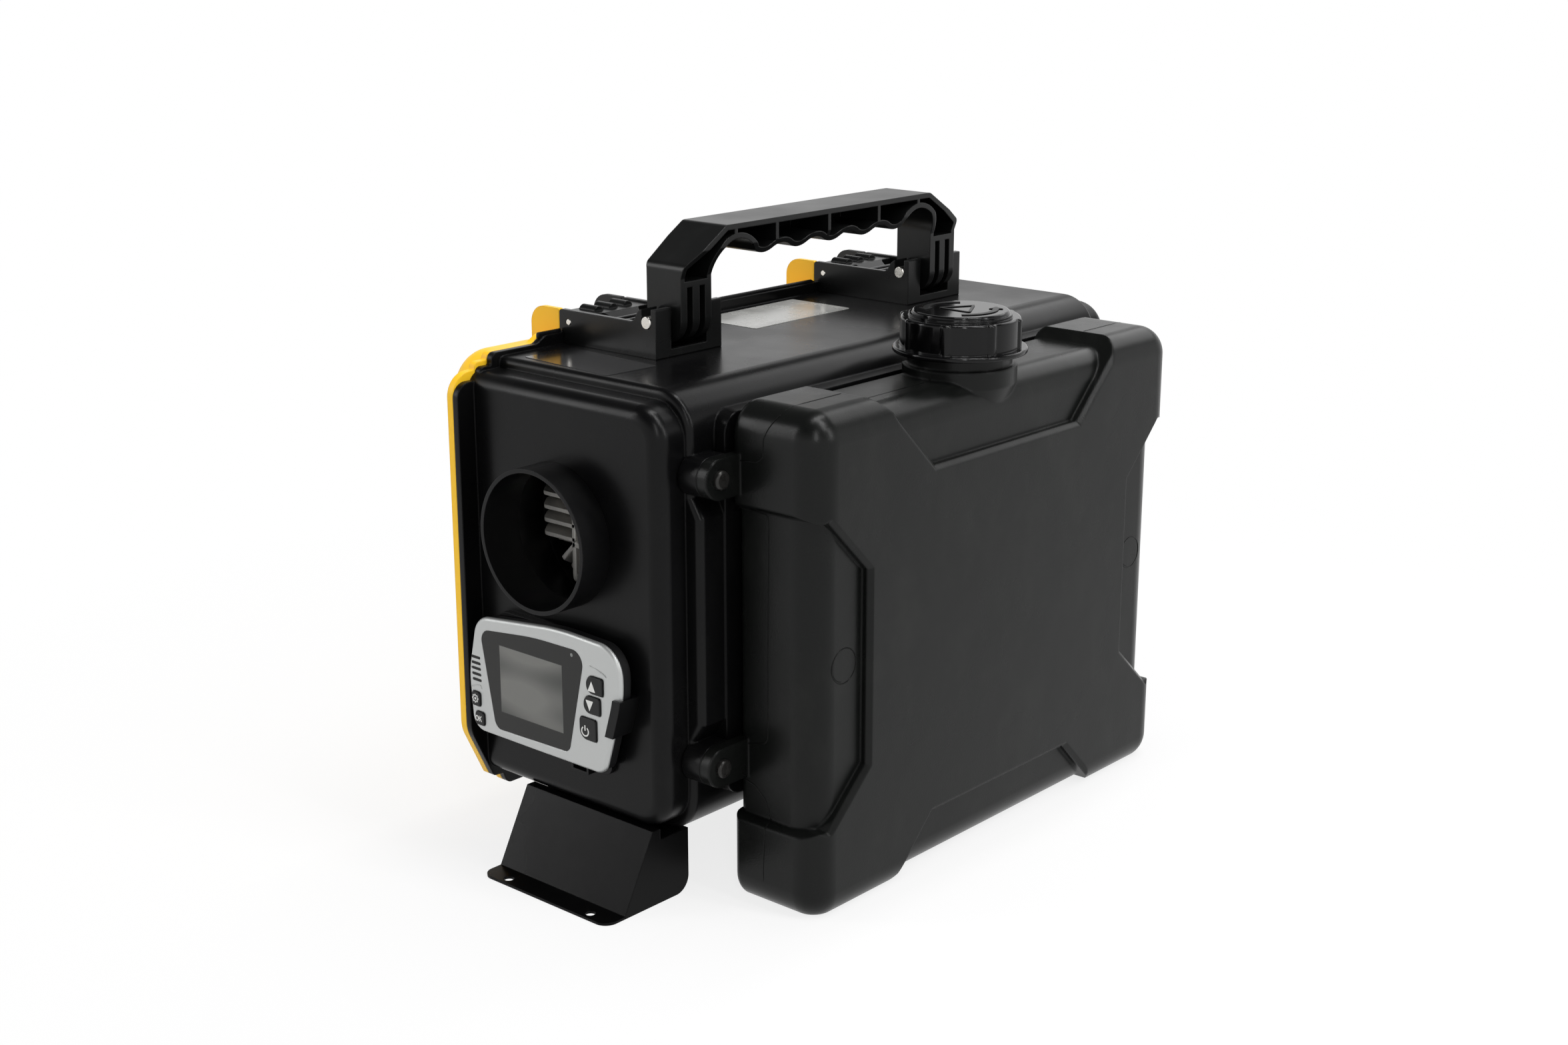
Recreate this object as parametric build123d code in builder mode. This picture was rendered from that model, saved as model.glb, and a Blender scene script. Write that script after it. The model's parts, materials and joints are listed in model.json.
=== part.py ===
from build123d import *
import os
from math import cos, radians, sin, sqrt

# Portable diesel air heater built into a carry case, in millimetres.
# X runs across the case from the lid (-X) to the fuel tank (+X), Y along the case
# from the warm-air outlet (-Y) to the air intake (+Y), and Z up from the floor.
# The origin is on the floor, in the middle of the whole heater.

os.makedirs("parts", exist_ok=True)


def save(builder, label):
    """Name a finished piece and write it out."""
    builder.part.label = label
    export_step(builder.part, f"parts/{label}.step")


# ---------------------------------------------------------------- driving dimensions

# Case base, a moulded tray that opens towards the lid
mating_x = -102.0            # plane where lid and base meet
case_depth = 156.0           # mating plane to the wall behind the tank
case_bottom = 39.0
case_height = 257.8
case_half_len = 196.0        # middle of the case to the ridge round each end
case_wall = 3.0
case_corner = 24.0
cap_stand_out = 20.3         # end panel proud of the ridge
cap_inset = 6.5              # end panel inside the ridge all round
cap_overhang = 2.5
cap_corner = 20.0
cap_round = 9.0
ridge_round = 4.0
side_pad_step = 7.0          # thickened middle of the wall behind the tank
side_pad_low = 108.0
side_pad_high = 228.0
side_pad_slant = 11.0
room_corner = 20.0           # corners of the room inside, seen from the lid
end_room_corner = 30.0
rim_thick = 4.0              # flange round the open side
rim_stand_out = 12.4
rim_step_out = 15.5          # step and ridge of the rim beyond the middle of the case
rim_ridge_out = 6.0
tank_rest_thick = 8.0        # pad that the tank's back leans on
tank_rest_half_len = 177.0
tank_rest_low = 60.0
tank_rest_high = 284.0
tank_rest_corner = 12.0

# Lid, a shallow tray hinged along the bottom
lid_rim_thick = 5.0
lid_depth = 28.0
lid_wall = 2.6
lid_gap = 0.3
lid_tray_beyond = 14.0       # tray longer than the middle of the case at each end
lid_tray_corner = 24.0
lid_round = 12.0
seal_width = 2.4
seal_depth = 2.0             # groove for the seal in the lid's rim
seal_out = 2.0               # seal outside the room in the case
seal_corner = 44.0
seal_gap = 0.1
hinge_drop = 4.2             # hinge axis below the rim
hinge_r = 4.0
hinge_pin_r = 1.6
hinge_span = 120.0
knuckle_len = 18.0
knuckle_gap = 0.4
keeper_in = 6.0              # keeper bar behind the mating plane
keeper_up = 12.2             # keeper bar above the case
keeper_bar_r = 3.0
keeper_depth = 25.0
keeper_low = 12.0

# Handle and its two end housings
pin_span = 116.7             # middle of the case to the middle of a housing
housing_len_y = 55.0
housing_len_x = 80.3
housing_wall = 3.2
housing_height = 20.4
ear_height = 29.0
ear_len = 17.0
post_width = 12.6
sill_height = 4.8
handle_pin_in = 7.6          # pin axis from the housing's tank end
handle_pin_up = 20.8         # and above the case
handle_pin_r = 3.8
latch_pin_in = 7.7           # pin axis from the mating plane
latch_pin_up = 13.2          # and above the case
latch_pin_r = 2.0
handle_rise = 73.7           # handle's top above the case
handle_width = 35.4
handle_column_x = 27.4
handle_column_y = 25.5
handle_skin = 3.2
handle_shoulder = 96.0       # middle of the case to where the top bar turns down
handle_shoulder_drop = 21.0
handle_bar_thick = 20.0
handle_wave = 2.2
swing_gap = 1.5

# Warm-air outlet and the heater inside
outlet_x = -30.7
outlet_z = 206.6
outlet_r = 42.0
outlet_wall = 2.5
outlet_reach = 20.5
collar_step = 0.6            # collars a little thinner where they pass the end walls
jacket_r = 58.0
jacket_wall = 2.5
outlet_funnel = 37.3         # between the end walls and the jacket
intake_funnel = 29.3
exchanger_in = 5.0           # exchanger behind the jacket's front
exchanger_len = 205.0
exchanger_core_r = 24.0
exchanger_wall = 4.0
flange_thick = 14.0
fin_thick = 3.0
fin_places = (-20.5, -12.2, -4.0, 4.0, 12.2, 20.5)
fin_reach = 53.0
burner_len = 34.0
burner_r = 38.0
motor_r = 24.0
motor_len = 46.0
shaft_r = 3.0
fan_r = 53.0
fan_hub_r = 15.0
fan_len = 13.0
fan_blades = 7
impeller_r = 34.0
pipe_r = 12.0
pipe_wall = 1.2
pipe_swage = 0.6             # stub wider than the rest of the pipe
pipe_drop = 19.0             # exhaust and burner air stubs below the case
exhaust_y = 0.0
burner_air_y = 60.0
floor_gap = 0.3              # round what passes through the case floor
floor_hole_deep = 6.0        # deep enough for the floor's round corner too
bearing_gap = 0.05
pump_x = 33.0
pump_z = 118.0
pump_r = 14.0
pump_len = 62.0
pump_end_y = 96.0
filter_r = 10.0
filter_low = 62.0
filter_high = 96.0
hose_r = 3.0
line_y = 120.0
fitting_up = 19.5            # tank outlet above the tank's bottom
feed_drop = 20.0             # fuel feed below the heater's axis

# Fuel tank
tank_stand_off = 10.5        # tank's back from the case
tank_depth = 62.2
tank_half_len = 175.0
tank_bottom = 0.5
tank_height = 290.0
tank_corner = 18.0
tank_front_round = 17.0
tank_step = 6.5              # panels recessed into the middle of each edge
tank_low_step = 1.5          # and only a little below
tank_side_step = 5.5
tank_under = 4.0             # rounding cut flat at the bottom
tank_back_round = 5.0
tank_wall = 3.0
tank_slope = 2.6
lug_out = 16.0               # screw ears beyond the tank's ends
lug_low_z = 85.0
lug_high_z = 251.5
lug_r = 11.5
lug_thick = 7.0
lug_screw_r = 2.8
lug_screw_gap = 0.2
neck_in = 25.5               # neck axis from the tank's back
neck_y = -3.4
neck_r = 34.0
neck_drop = 0.9              # neck's top below the tank's top
neck_foot_drop = 24.5        # and the foot of its cone
neck_foot_r = 28.7
neck_cone = 13.0
thread_root = 1.0
thread_r = 31.0
thread_len = 22.8
gasket_thick = 1.5
neck_bore_r = 26.0
cap_flange_r = 40.0
cap_body_r = 35.4
cap_lobe_r = 36.8
cap_lobes = 8
cap_flange_thick = 3.2
cap_height = 24.6
cap_top_thick = 6.9
cap_disc_rise = 3.6
cap_ring_rise = 1.6
cap_ring_r = 30.5
cap_disc_r = 28.6
cap_gap = 0.4                # between cap and neck thread
gasket_gap = 0.1
thread_pitch = 6.0

# Controller on the outlet end
panel_y = -(case_half_len + cap_stand_out)
holder_thick = 3.0
controller_back_thick = 7.4
bezel_thick = 2.6
lens_thick = 1.2
board_thick = 1.6
controller_gap = 0.2
button_rise = 1.1
button_gap = 0.3
button_travel = 0.8
slot_high = 1.1
clip_low = 102.0             # band of the controller's side that the clip holds
clip_high = 125.0
clip_wall = 1.6
clip_lip = 4.5
clip_mid_x = 21.0            # middle of the strip of outline that the clip follows
clip_room = 30.0
holder_plate_reach = 20.0

# Feet, folded from steel sheet
foot_sheet = 1.5
foot_x_mid = -11.8
foot_width = 104.7
foot_top_in = 0.3            # foot's top edge inside the end panel
foot_fold_out = 23.4         # fold at the floor beyond the end panel
foot_back_in = 28.9
foot_flange = 14.3
foot_hole_r = 2.9
foot_hole_span = 68.5
foot_hole_in = 5.3

# Derived places
side_x = mating_x + case_depth
case_top = case_bottom + case_height
case_end = case_half_len + cap_stand_out
inside_y = -case_end + case_wall
far_inside_y = case_end - case_wall
case_mid_z = (case_bottom + case_top) / 2
rim_low = case_bottom - 6.5
hinge_z = rim_low - hinge_drop
inner_floor = case_bottom + case_wall
handle_pin_x = mating_x + housing_len_x - handle_pin_in
handle_pin_z = case_top + handle_pin_up
latch_pin_x = mating_x + latch_pin_in
latch_pin_z = case_top + latch_pin_up
handle_top = case_top + handle_rise
jacket_front_y = inside_y + outlet_funnel
jacket_end_y = far_inside_y - intake_funnel
exchanger_front_y = jacket_front_y + exchanger_in
tank_back_x = side_x + tank_stand_off
tank_front_x = tank_back_x + tank_depth
tank_top = tank_bottom + tank_height
fitting_z = tank_bottom + fitting_up
lug_y = tank_half_len + lug_out
neck_x = tank_back_x + neck_in
neck_top = tank_top - neck_drop
neck_foot_z = tank_top - neck_foot_drop
thread_top = neck_top + thread_len
cap_inside_z = thread_top + gasket_thick + 2 * gasket_gap
cap_high = cap_inside_z + cap_top_thick
cap_low = cap_high - cap_height
cap_body_low = cap_low + cap_flange_thick
cap_body_high = cap_high - cap_disc_rise
foot_top_y = case_end - foot_top_in
foot_fold_y = case_end + foot_fold_out
foot_back_y = case_end - foot_back_in


# ---------------------------------------------------------------- case base

def case_side_outline(inset):
    """Middle of the case seen along Y, with its thickened pad, drawn `inset` inside."""
    low, high = case_bottom + inset, case_top - inset
    wall_x = side_x - inset
    pad_x = wall_x + side_pad_step
    with BuildSketch() as outline:
        with BuildLine():
            Polyline(
                (mating_x, low),
                (wall_x, low),
                (wall_x, side_pad_low - side_pad_slant),
                (pad_x, side_pad_low),
                (pad_x, side_pad_high),
                (wall_x, side_pad_high + side_pad_slant),
                (wall_x, high),
                (mating_x, high),
                close=True,
            )
        make_face()
        on_wall = outline.vertices().filter_by_position(Axis.X, wall_x - 1, wall_x + 1)
        fillet([on_wall.sort_by(Axis.Y)[0], on_wall.sort_by(Axis.Y)[-1]], case_corner - inset)
    return outline.sketch


def cap_side_outline(inset):
    """End panel seen along Y: square at the mating plane, round behind."""
    low, high = case_bottom + cap_inset + inset, case_top - cap_inset - inset
    length = case_depth - cap_inset + cap_overhang - inset
    with BuildSketch() as outline:
        with Locations((mating_x + length / 2, (low + high) / 2)):
            Rectangle(length, high - low)
        fillet(outline.vertices().group_by(Axis.X)[-1], cap_corner - inset)
    return outline.sketch


def rim_outline(grow=0.0, lift=0.0):
    """Stepped outline of the rim round the open side, seen along X."""
    wide = case_end + rim_stand_out + grow
    step_wide = case_half_len + rim_step_out + grow
    ridge_wide = case_half_len + rim_ridge_out + grow
    low = rim_low - grow
    high = case_top + 2.7 + grow
    half = [
        (ridge_wide, low, 5.0),
        (ridge_wide + 3.0, low + 7.5, 1.5),
        (step_wide + 1.0, low + 8.0, 2.5),
        (wide, low + 41.5, 22.0),
        (wide, high - 14.0 + lift, 9.0 + lift),
        (step_wide, high - 14.0 + lift, 1.5),
        (step_wide, high - 7.0 + lift / 2, 3.5),
        (ridge_wide, high - 7.0 + lift / 2, 1.5),
        (ridge_wide, high, 4.0),
        (case_half_len - 29.0, high, 5.0),
        (case_half_len - 36.0, high + 4.2, 5.0),
    ]
    points = [(y, z) for y, z, r in half] + [(-y, z) for y, z, r in reversed(half)]
    radii = [r for y, z, r in half] + [r for y, z, r in reversed(half)]
    with BuildSketch() as outline:
        with BuildLine():
            FilletPolyline(*points, radius=radii, close=True)
        make_face()
    return outline.sketch


with BuildPart() as case_middle:
    with BuildSketch(Plane.XZ):
        add(case_side_outline(0))
    extrude(amount=case_half_len, both=True)
    end_edges = case_middle.edges().filter_by_position(Axis.X, mating_x + 1, side_x + 20)
    fillet(end_edges.group_by(Axis.Y)[0] + end_edges.group_by(Axis.Y)[-1], ridge_round)

with BuildPart() as case_ends:
    with BuildSketch(Plane.XZ):
        add(cap_side_outline(0))
    extrude(amount=case_end, both=True)
    end_edges = case_ends.edges().filter_by_position(Axis.X, mating_x + 1, side_x + 20)
    fillet(end_edges.group_by(Axis.Y)[0] + end_edges.group_by(Axis.Y)[-1], cap_round)

def make_room(outline, half_len, height, corner):
    """Room inside the case, with round corners where it meets the lid."""
    with BuildPart() as room:
        with BuildSketch(Plane.XZ):
            add(outline)
        extrude(amount=half_len, both=True)
        with BuildSketch(Plane.YZ.offset(mating_x)):
            with Locations((0, case_mid_z)):
                RectangleRounded(2 * half_len, height, corner)
        extrude(amount=case_depth + side_pad_step, mode=Mode.INTERSECT)
    return room.part


room_height = case_height - 2 * case_wall
middle_room = make_room(case_side_outline(case_wall), case_half_len - case_wall, room_height, room_corner)
end_room = make_room(
    cap_side_outline(case_wall), case_end - case_wall, room_height - 2 * cap_inset, end_room_corner
)

with BuildPart() as base_shell:
    add(case_middle.part)
    add(case_ends.part)
    # Flange round the open side
    with BuildSketch(Plane.YZ.offset(mating_x)):
        add(rim_outline())
    extrude(amount=rim_thick)
    # Pad behind the tank
    with BuildSketch(Plane.YZ.offset(side_x - case_wall)):
        with Locations((0, (tank_rest_low + tank_rest_high) / 2)):
            RectangleRounded(2 * tank_rest_half_len, tank_rest_high - tank_rest_low, tank_rest_corner)
    extrude(amount=tank_rest_thick + case_wall)
    # Bosses that the tank's lugs are screwed to
    with BuildSketch(Plane.YZ.offset(side_x - case_wall)):
        for side in (-1, 1):
            for z in (lug_low_z, lug_high_z):
                with Locations((side * lug_y, z)):
                    Circle(lug_r)
                with Locations((side * (lug_y - lug_r / 2), z)):
                    Rectangle(lug_r, 2 * lug_r)
    extrude(amount=tank_back_x - side_x + case_wall)
    # Middle knuckle of each hinge, with a web up to the rim
    for side in (-1, 1):
        with BuildSketch(Plane.XZ.offset(-side * hinge_span)):
            with Locations((mating_x, hinge_z)):
                Circle(hinge_r)
            with Locations((mating_x + hinge_r / 2, hinge_z + hinge_r)):
                Rectangle(hinge_r, 2 * hinge_r)
            with Locations((mating_x, hinge_z)):
                Circle(hinge_pin_r, mode=Mode.SUBTRACT)
        extrude(amount=knuckle_len / 2, both=True)
    add(middle_room, mode=Mode.SUBTRACT)
    add(end_room, mode=Mode.SUBTRACT)
    # Holes for the tank's screws
    with BuildSketch(Plane.YZ.offset(side_x - case_wall)):
        for side in (-1, 1):
            with Locations((side * lug_y, lug_low_z), (side * lug_y, lug_high_z)):
                Circle(lug_screw_r)
    extrude(amount=tank_back_x - side_x + case_wall, mode=Mode.SUBTRACT)
    # Holes in the floor for the two pipes and the fuel line
    with BuildSketch(Plane.XY.offset(case_bottom)):
        with Locations((outlet_x, exhaust_y), (outlet_x, burner_air_y)):
            Circle(pipe_r + floor_gap)
        with Locations((pump_x, line_y)):
            Circle(hose_r + floor_gap)
    extrude(amount=floor_hole_deep, mode=Mode.SUBTRACT)
    # Gaps in the lip for the handle housings
    with BuildSketch(Plane.XY.offset(case_top)):
        with Locations((mating_x + rim_thick / 2, -pin_span), (mating_x + rim_thick / 2, pin_span)):
            Rectangle(rim_thick, housing_len_y)
    extrude(amount=housing_height, mode=Mode.SUBTRACT)
    # Outlet and intake openings
    with BuildSketch(Plane.XZ.offset(-case_end)):
        with Locations((outlet_x, outlet_z)):
            Circle(outlet_r - collar_step)
    extrude(amount=2 * case_end, mode=Mode.SUBTRACT)
save(base_shell, "base_shell")


# ---------------------------------------------------------------- handle housings and latches

def housing_profile():
    """Side of a housing seen along Y: low wall, then an ear round the handle pin."""
    end_x = mating_x + housing_len_x
    wall_top = case_top + housing_height
    ear_top = case_top + ear_height
    with BuildSketch() as outline:
        with BuildLine():
            FilletPolyline(
                (mating_x, case_top),
                (mating_x, wall_top),
                (end_x - ear_len, wall_top),
                (end_x - ear_len + 2, ear_top),
                (end_x, ear_top),
                (end_x, case_top),
                radius=[0.6, 2.0, 5.0, 8.0, 0.6, 0.6],
                close=True,
            )
        make_face()
    return outline.sketch


def make_housing(side, label):
    """Two walls with pin ears, a sill, and room between for the latch lever and the handle."""
    mid_y = side * pin_span
    end_x = mating_x + housing_len_x
    walls_apart = housing_len_y - 2 * housing_wall
    posts_apart = housing_len_y - 2 * post_width
    with BuildPart() as housing:
        with BuildSketch(Plane.XZ.offset(-mid_y)):
            add(housing_profile())
        extrude(amount=housing_len_y / 2, both=True)
        with BuildSketch(Plane.XY.offset(case_top)):
            with Locations((end_x - ear_len - 50, mid_y)):
                Rectangle(100, walls_apart)
        extrude(amount=ear_height + 1, mode=Mode.SUBTRACT)
        with BuildSketch(Plane.XY.offset(case_top + sill_height)):
            with Locations((end_x - ear_len / 2, mid_y)):
                Rectangle(ear_len + 4, posts_apart)
        extrude(amount=ear_height + 1, mode=Mode.SUBTRACT)
        with BuildSketch(Plane.XY.offset(case_top)):
            with Locations((end_x - ear_len / 2 - 3, mid_y)):
                Rectangle(ear_len, posts_apart)
        extrude(amount=ear_height + 1, mode=Mode.SUBTRACT)
        # Open slots that the handle pin drops into, and holes for the latch pin
        with BuildSketch(Plane.XZ.offset(-mid_y)):
            with Locations((handle_pin_x, handle_pin_z)):
                Circle(handle_pin_r)
            with Locations((handle_pin_x, handle_pin_z + ear_height / 2)):
                Rectangle(2 * handle_pin_r, ear_height)
            with Locations((latch_pin_x, latch_pin_z)):
                Circle(latch_pin_r)
        extrude(amount=housing_len_y / 2 + 1, both=True, mode=Mode.SUBTRACT)
    save(housing, label)


def make_pin(side, x, z, radius, length, label):
    """Plain nickel pin along Y through one housing."""
    with BuildPart() as pin:
        with BuildSketch(Plane.XZ.offset(-side * pin_span)):
            with Locations((x, z)):
                Circle(radius)
        extrude(amount=length / 2, both=True)
        chamfer(pin.faces().filter_by(Axis.Y).edges(), 0.4)
    save(pin, label)


def make_latch(side, label):
    """Latch lever: pivot boss with a nose, three thumb nubs, a neck and two cross ribs."""
    mid_y = side * pin_span
    half_width = housing_len_y / 2 - housing_wall - 0.6
    plate_top = case_top + housing_height - 1.2
    lever_end = handle_pin_x - handle_column_x / 2 - swing_gap - 3.0
    with BuildPart() as lever:
        with BuildSketch(Plane.XZ.offset(-mid_y)):
            with BuildLine():
                FilletPolyline(
                    (latch_pin_x - 9.0, plate_top - 5.5),
                    (latch_pin_x - 7.0, plate_top),
                    (latch_pin_x + 17.0, plate_top),
                    (latch_pin_x + 22.0, plate_top - 4.0),
                    (lever_end, plate_top - 5.0),
                    (lever_end, plate_top - 9.0),
                    (latch_pin_x + 14.0, plate_top - 7.5),
                    (latch_pin_x + 4.0, latch_pin_z - 4.0),
                    radius=[0.8, 2.5, 2.5, 1.5, 1.0, 1.0, 1.5, 1.5],
                    close=True,
                )
            make_face()
            with Locations((latch_pin_x, latch_pin_z)):
                Circle(5.2)
        extrude(amount=half_width, both=True)
        # Neck between the thumb end and the cross ribs
        with BuildSketch(Plane.XY.offset(case_top)):
            for turn in (-1, 1):
                with Locations((latch_pin_x + 22.0, mid_y + turn * half_width)):
                    RectangleRounded(11, 22, 3)
        extrude(amount=housing_height + 5, mode=Mode.SUBTRACT)
        # Cross ribs
        with BuildSketch(Plane.XZ.offset(-mid_y)):
            for rib_x in (latch_pin_x + 31.0, latch_pin_x + 39.0):
                with Locations((rib_x, plate_top - 4.4)):
                    RectangleRounded(3.0, 7.6, 1.0)
        extrude(amount=half_width, both=True)
        # Thumb nubs
        with BuildSketch(Plane.YZ.offset(latch_pin_x - 3.0)):
            for place in (-1, 0, 1):
                with Locations((mid_y + place * 12.0, plate_top - 1.5)):
                    Circle(4.2)
        extrude(amount=13.0)
        with BuildSketch(Plane.XZ.offset(-mid_y)):
            with Locations((latch_pin_x, latch_pin_z)):
                Circle(latch_pin_r + bearing_gap)
        extrude(amount=half_width + 1, both=True, mode=Mode.SUBTRACT)
    save(lever, label)


for side, word in ((-1, "near"), (1, "far")):
    make_housing(side, f"latch_housing_{word}")
    make_pin(side, handle_pin_x, handle_pin_z, handle_pin_r, housing_len_y + 1.0, f"handle_pin_{word}")
    make_pin(side, latch_pin_x, latch_pin_z, latch_pin_r, housing_len_y + 0.6, f"latch_pin_{word}")
    make_latch(side, f"latch_lever_{word}")


# ---------------------------------------------------------------- carrying handle

def handle_outline():
    """Handle seen along X: columns, sloping shoulders and a top bar with finger waves."""
    inner_y = pin_span - handle_column_y / 2
    outer_y = pin_span + handle_column_y / 2
    foot_z = handle_pin_z - handle_column_x / 2
    wave_mid = handle_top - handle_bar_thick + handle_wave
    half_wave = 2 * 69.75 / 9
    arch_z = handle_top - 8.8
    with BuildSketch() as outline:
        with BuildLine():
            Polyline(
                (-inner_y, handle_top - 27.0),
                (-inner_y, foot_z),
                (-outer_y, foot_z),
                (-outer_y, handle_top - handle_shoulder_drop),
                (-handle_shoulder, handle_top),
                (handle_shoulder, handle_top),
                (outer_y, handle_top - handle_shoulder_drop),
                (outer_y, foot_z),
                (inner_y, foot_z),
                (inner_y, handle_top - 27.0),
            )
            wave_end = 4.5 * half_wave
            ThreePointArc((inner_y, handle_top - 27.0), (inner_y - 17.0, arch_z), (wave_end, wave_mid))
            for count in range(9):
                start = wave_end - count * half_wave
                crest = wave_mid + (handle_wave if count % 2 else -handle_wave)
                ThreePointArc((start, wave_mid), (start - half_wave / 2, crest), (start - half_wave, wave_mid))
            ThreePointArc((-wave_end, wave_mid), (17.0 - inner_y, arch_z), (-inner_y, handle_top - 27.0))
        make_face()
        high = outline.vertices().filter_by(lambda v: v.Y > handle_top - handle_shoulder_drop - 1)
        shoulders = high.filter_by(lambda v: abs(v.X) > handle_shoulder - 1)
        fillet(shoulders, 5.0)
    return outline.sketch


with BuildPart() as handle:
    back_x = handle_pin_x - handle_column_x / 2 - 2.6
    front_x = back_x + handle_width
    column_back = handle_pin_x - handle_column_x / 2
    column_front = handle_pin_x + handle_column_x / 2
    with BuildSketch(Plane.YZ.offset(back_x)):
        add(handle_outline())
    extrude(amount=handle_width)
    # Side view: round at the pin, a little wider at the top bar
    with BuildSketch(Plane.XZ):
        with BuildLine():
            Line((column_back, handle_pin_z), (column_back, handle_top - 24))
            Line((column_back, handle_top - 24), (back_x, handle_top - 8))
            Line((back_x, handle_top - 8), (back_x, handle_top))
            Line((back_x, handle_top), (front_x, handle_top))
            Line((front_x, handle_top), (front_x, handle_top - 13))
            Line((front_x, handle_top - 13), (column_front, handle_top - 28))
            Line((column_front, handle_top - 28), (column_front, handle_pin_z))
            ThreePointArc(
                (column_front, handle_pin_z),
                (handle_pin_x, handle_pin_z - handle_column_x / 2),
                (column_back, handle_pin_z),
            )
        make_face()
    extrude(amount=pin_span + handle_column_y, both=True, mode=Mode.INTERSECT)
    # Channel open towards the tank, crossed by ribs
    with BuildSketch(Plane.YZ.offset(front_x)):
        add(handle_outline())
        offset(amount=-handle_skin, mode=Mode.REPLACE)
        for side in (-1, 1):
            with Locations((side * pin_span, handle_pin_z)):
                Rectangle(handle_column_y + 2, 2 * (handle_top - 30.0 - handle_pin_z), mode=Mode.SUBTRACT)
        for rib_y in (-88, -52, -4, 44, 84):
            with Locations((rib_y, handle_top - 10)):
                Rectangle(2.4, 24, mode=Mode.SUBTRACT)
    extrude(amount=-(handle_width - handle_skin - 1.5), mode=Mode.SUBTRACT)
    # Slots that leave three tines round each pin
    with BuildSketch(Plane.YZ.offset(front_x)):
        for side in (-1, 1):
            for place in (-1, 1):
                with Locations((side * pin_span + place * 5.2, handle_pin_z)):
                    Rectangle(4.8, 2 * (handle_top - 33.5 - handle_pin_z))
    extrude(amount=-(handle_width - 9.0), mode=Mode.SUBTRACT)
    with BuildSketch(Plane.XZ):
        with Locations((handle_pin_x, handle_pin_z)):
            Circle(handle_pin_r + bearing_gap)
    extrude(amount=pin_span + handle_column_y, both=True, mode=Mode.SUBTRACT)
save(handle, "handle")


# ---------------------------------------------------------------- lid

rim_x = mating_x - lid_gap
keeper_back_x = mating_x - keeper_depth
tray_len = 2 * (case_half_len + lid_tray_beyond)
tray_height = case_height + 2.0


def seal_ring():
    """Ring that the seal fills, just outside the room in the case."""
    long = 2 * (case_end - case_wall + seal_out + seal_width)
    high = case_height - 2 * case_wall + 2 * (seal_out + seal_width)
    with BuildSketch() as outline:
        with Locations((0, case_mid_z)):
            RectangleRounded(long, high, seal_corner)
            RectangleRounded(
                long - 2 * seal_width, high - 2 * seal_width, seal_corner - seal_width, mode=Mode.SUBTRACT
            )
    return outline.sketch


with BuildPart() as lid_room:
    # Hollow of the lid, with its own round edge
    with BuildSketch(Plane.YZ.offset(rim_x)):
        with Locations((0, case_mid_z)):
            RectangleRounded(tray_len - 2 * lid_wall, tray_height - 2 * lid_wall, lid_tray_corner - lid_wall)
    extrude(amount=-(lid_depth - lid_gap - lid_wall))
    fillet(lid_room.faces().sort_by(Axis.X)[0].edges(), lid_round - lid_wall)

with BuildPart() as lid_shell:
    # Rim, then the tray behind it
    with BuildSketch(Plane.YZ.offset(rim_x)):
        add(rim_outline(lift=5.0))
    extrude(amount=-(lid_rim_thick - lid_gap))
    with BuildSketch(Plane.YZ.offset(rim_x)):
        with Locations((0, case_mid_z)):
            RectangleRounded(tray_len, tray_height, lid_tray_corner)
    extrude(amount=-(lid_depth - lid_gap))
    fillet(lid_shell.faces().sort_by(Axis.X)[0].edges(), lid_round)
    add(lid_room.part, mode=Mode.SUBTRACT)
    # Keepers: two cheeks in line with each housing's walls, and a bar between them
    for side in (-1, 1):
        for place in (-1, 1):
            cheek_y = side * pin_span + place * (housing_len_y - housing_wall) / 2
            with BuildSketch(Plane.XZ.offset(-cheek_y)):
                with BuildLine():
                    FilletPolyline(
                        (rim_x, case_top + housing_height),
                        (keeper_back_x, case_top + housing_height),
                        (keeper_back_x, case_top - keeper_low),
                        (rim_x, case_top - keeper_low),
                        radius=[1.0, 11.0, 0.5, 0.5],
                        close=True,
                    )
                make_face()
            extrude(amount=housing_wall / 2, both=True)
        with BuildSketch(Plane.XZ.offset(-side * pin_span)):
            with Locations((mating_x - keeper_in, case_top + keeper_up)):
                Circle(keeper_bar_r)
        extrude(amount=housing_len_y / 2 - 1, both=True)
    # Outer hinge knuckles
    for side in (-1, 1):
        for place in (-1, 1):
            knuckle_y = side * hinge_span + place * (knuckle_len + knuckle_gap)
            with BuildSketch(Plane.XZ.offset(-knuckle_y)):
                with Locations((mating_x, hinge_z)):
                    Circle(hinge_r)
                with Locations((rim_x - lid_rim_thick / 2 + lid_gap, hinge_z + hinge_r)):
                    Rectangle(lid_rim_thick - 2 * lid_gap, 2 * hinge_r)
                with Locations((mating_x, hinge_z)):
                    Circle(hinge_pin_r + bearing_gap, mode=Mode.SUBTRACT)
            extrude(amount=knuckle_len / 2, both=True)
    # Groove that holds the seal
    with BuildSketch(Plane.YZ.offset(rim_x)):
        add(seal_ring())
    extrude(amount=-seal_depth, mode=Mode.SUBTRACT)
save(lid_shell, "lid_shell")

with BuildPart() as lid_seal:
    with BuildSketch(Plane.YZ.offset(mating_x - seal_gap)):
        add(seal_ring())
    extrude(amount=-(seal_depth + lid_gap - seal_gap))
save(lid_seal, "lid_seal")


# ---------------------------------------------------------------- fuel tank

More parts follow.
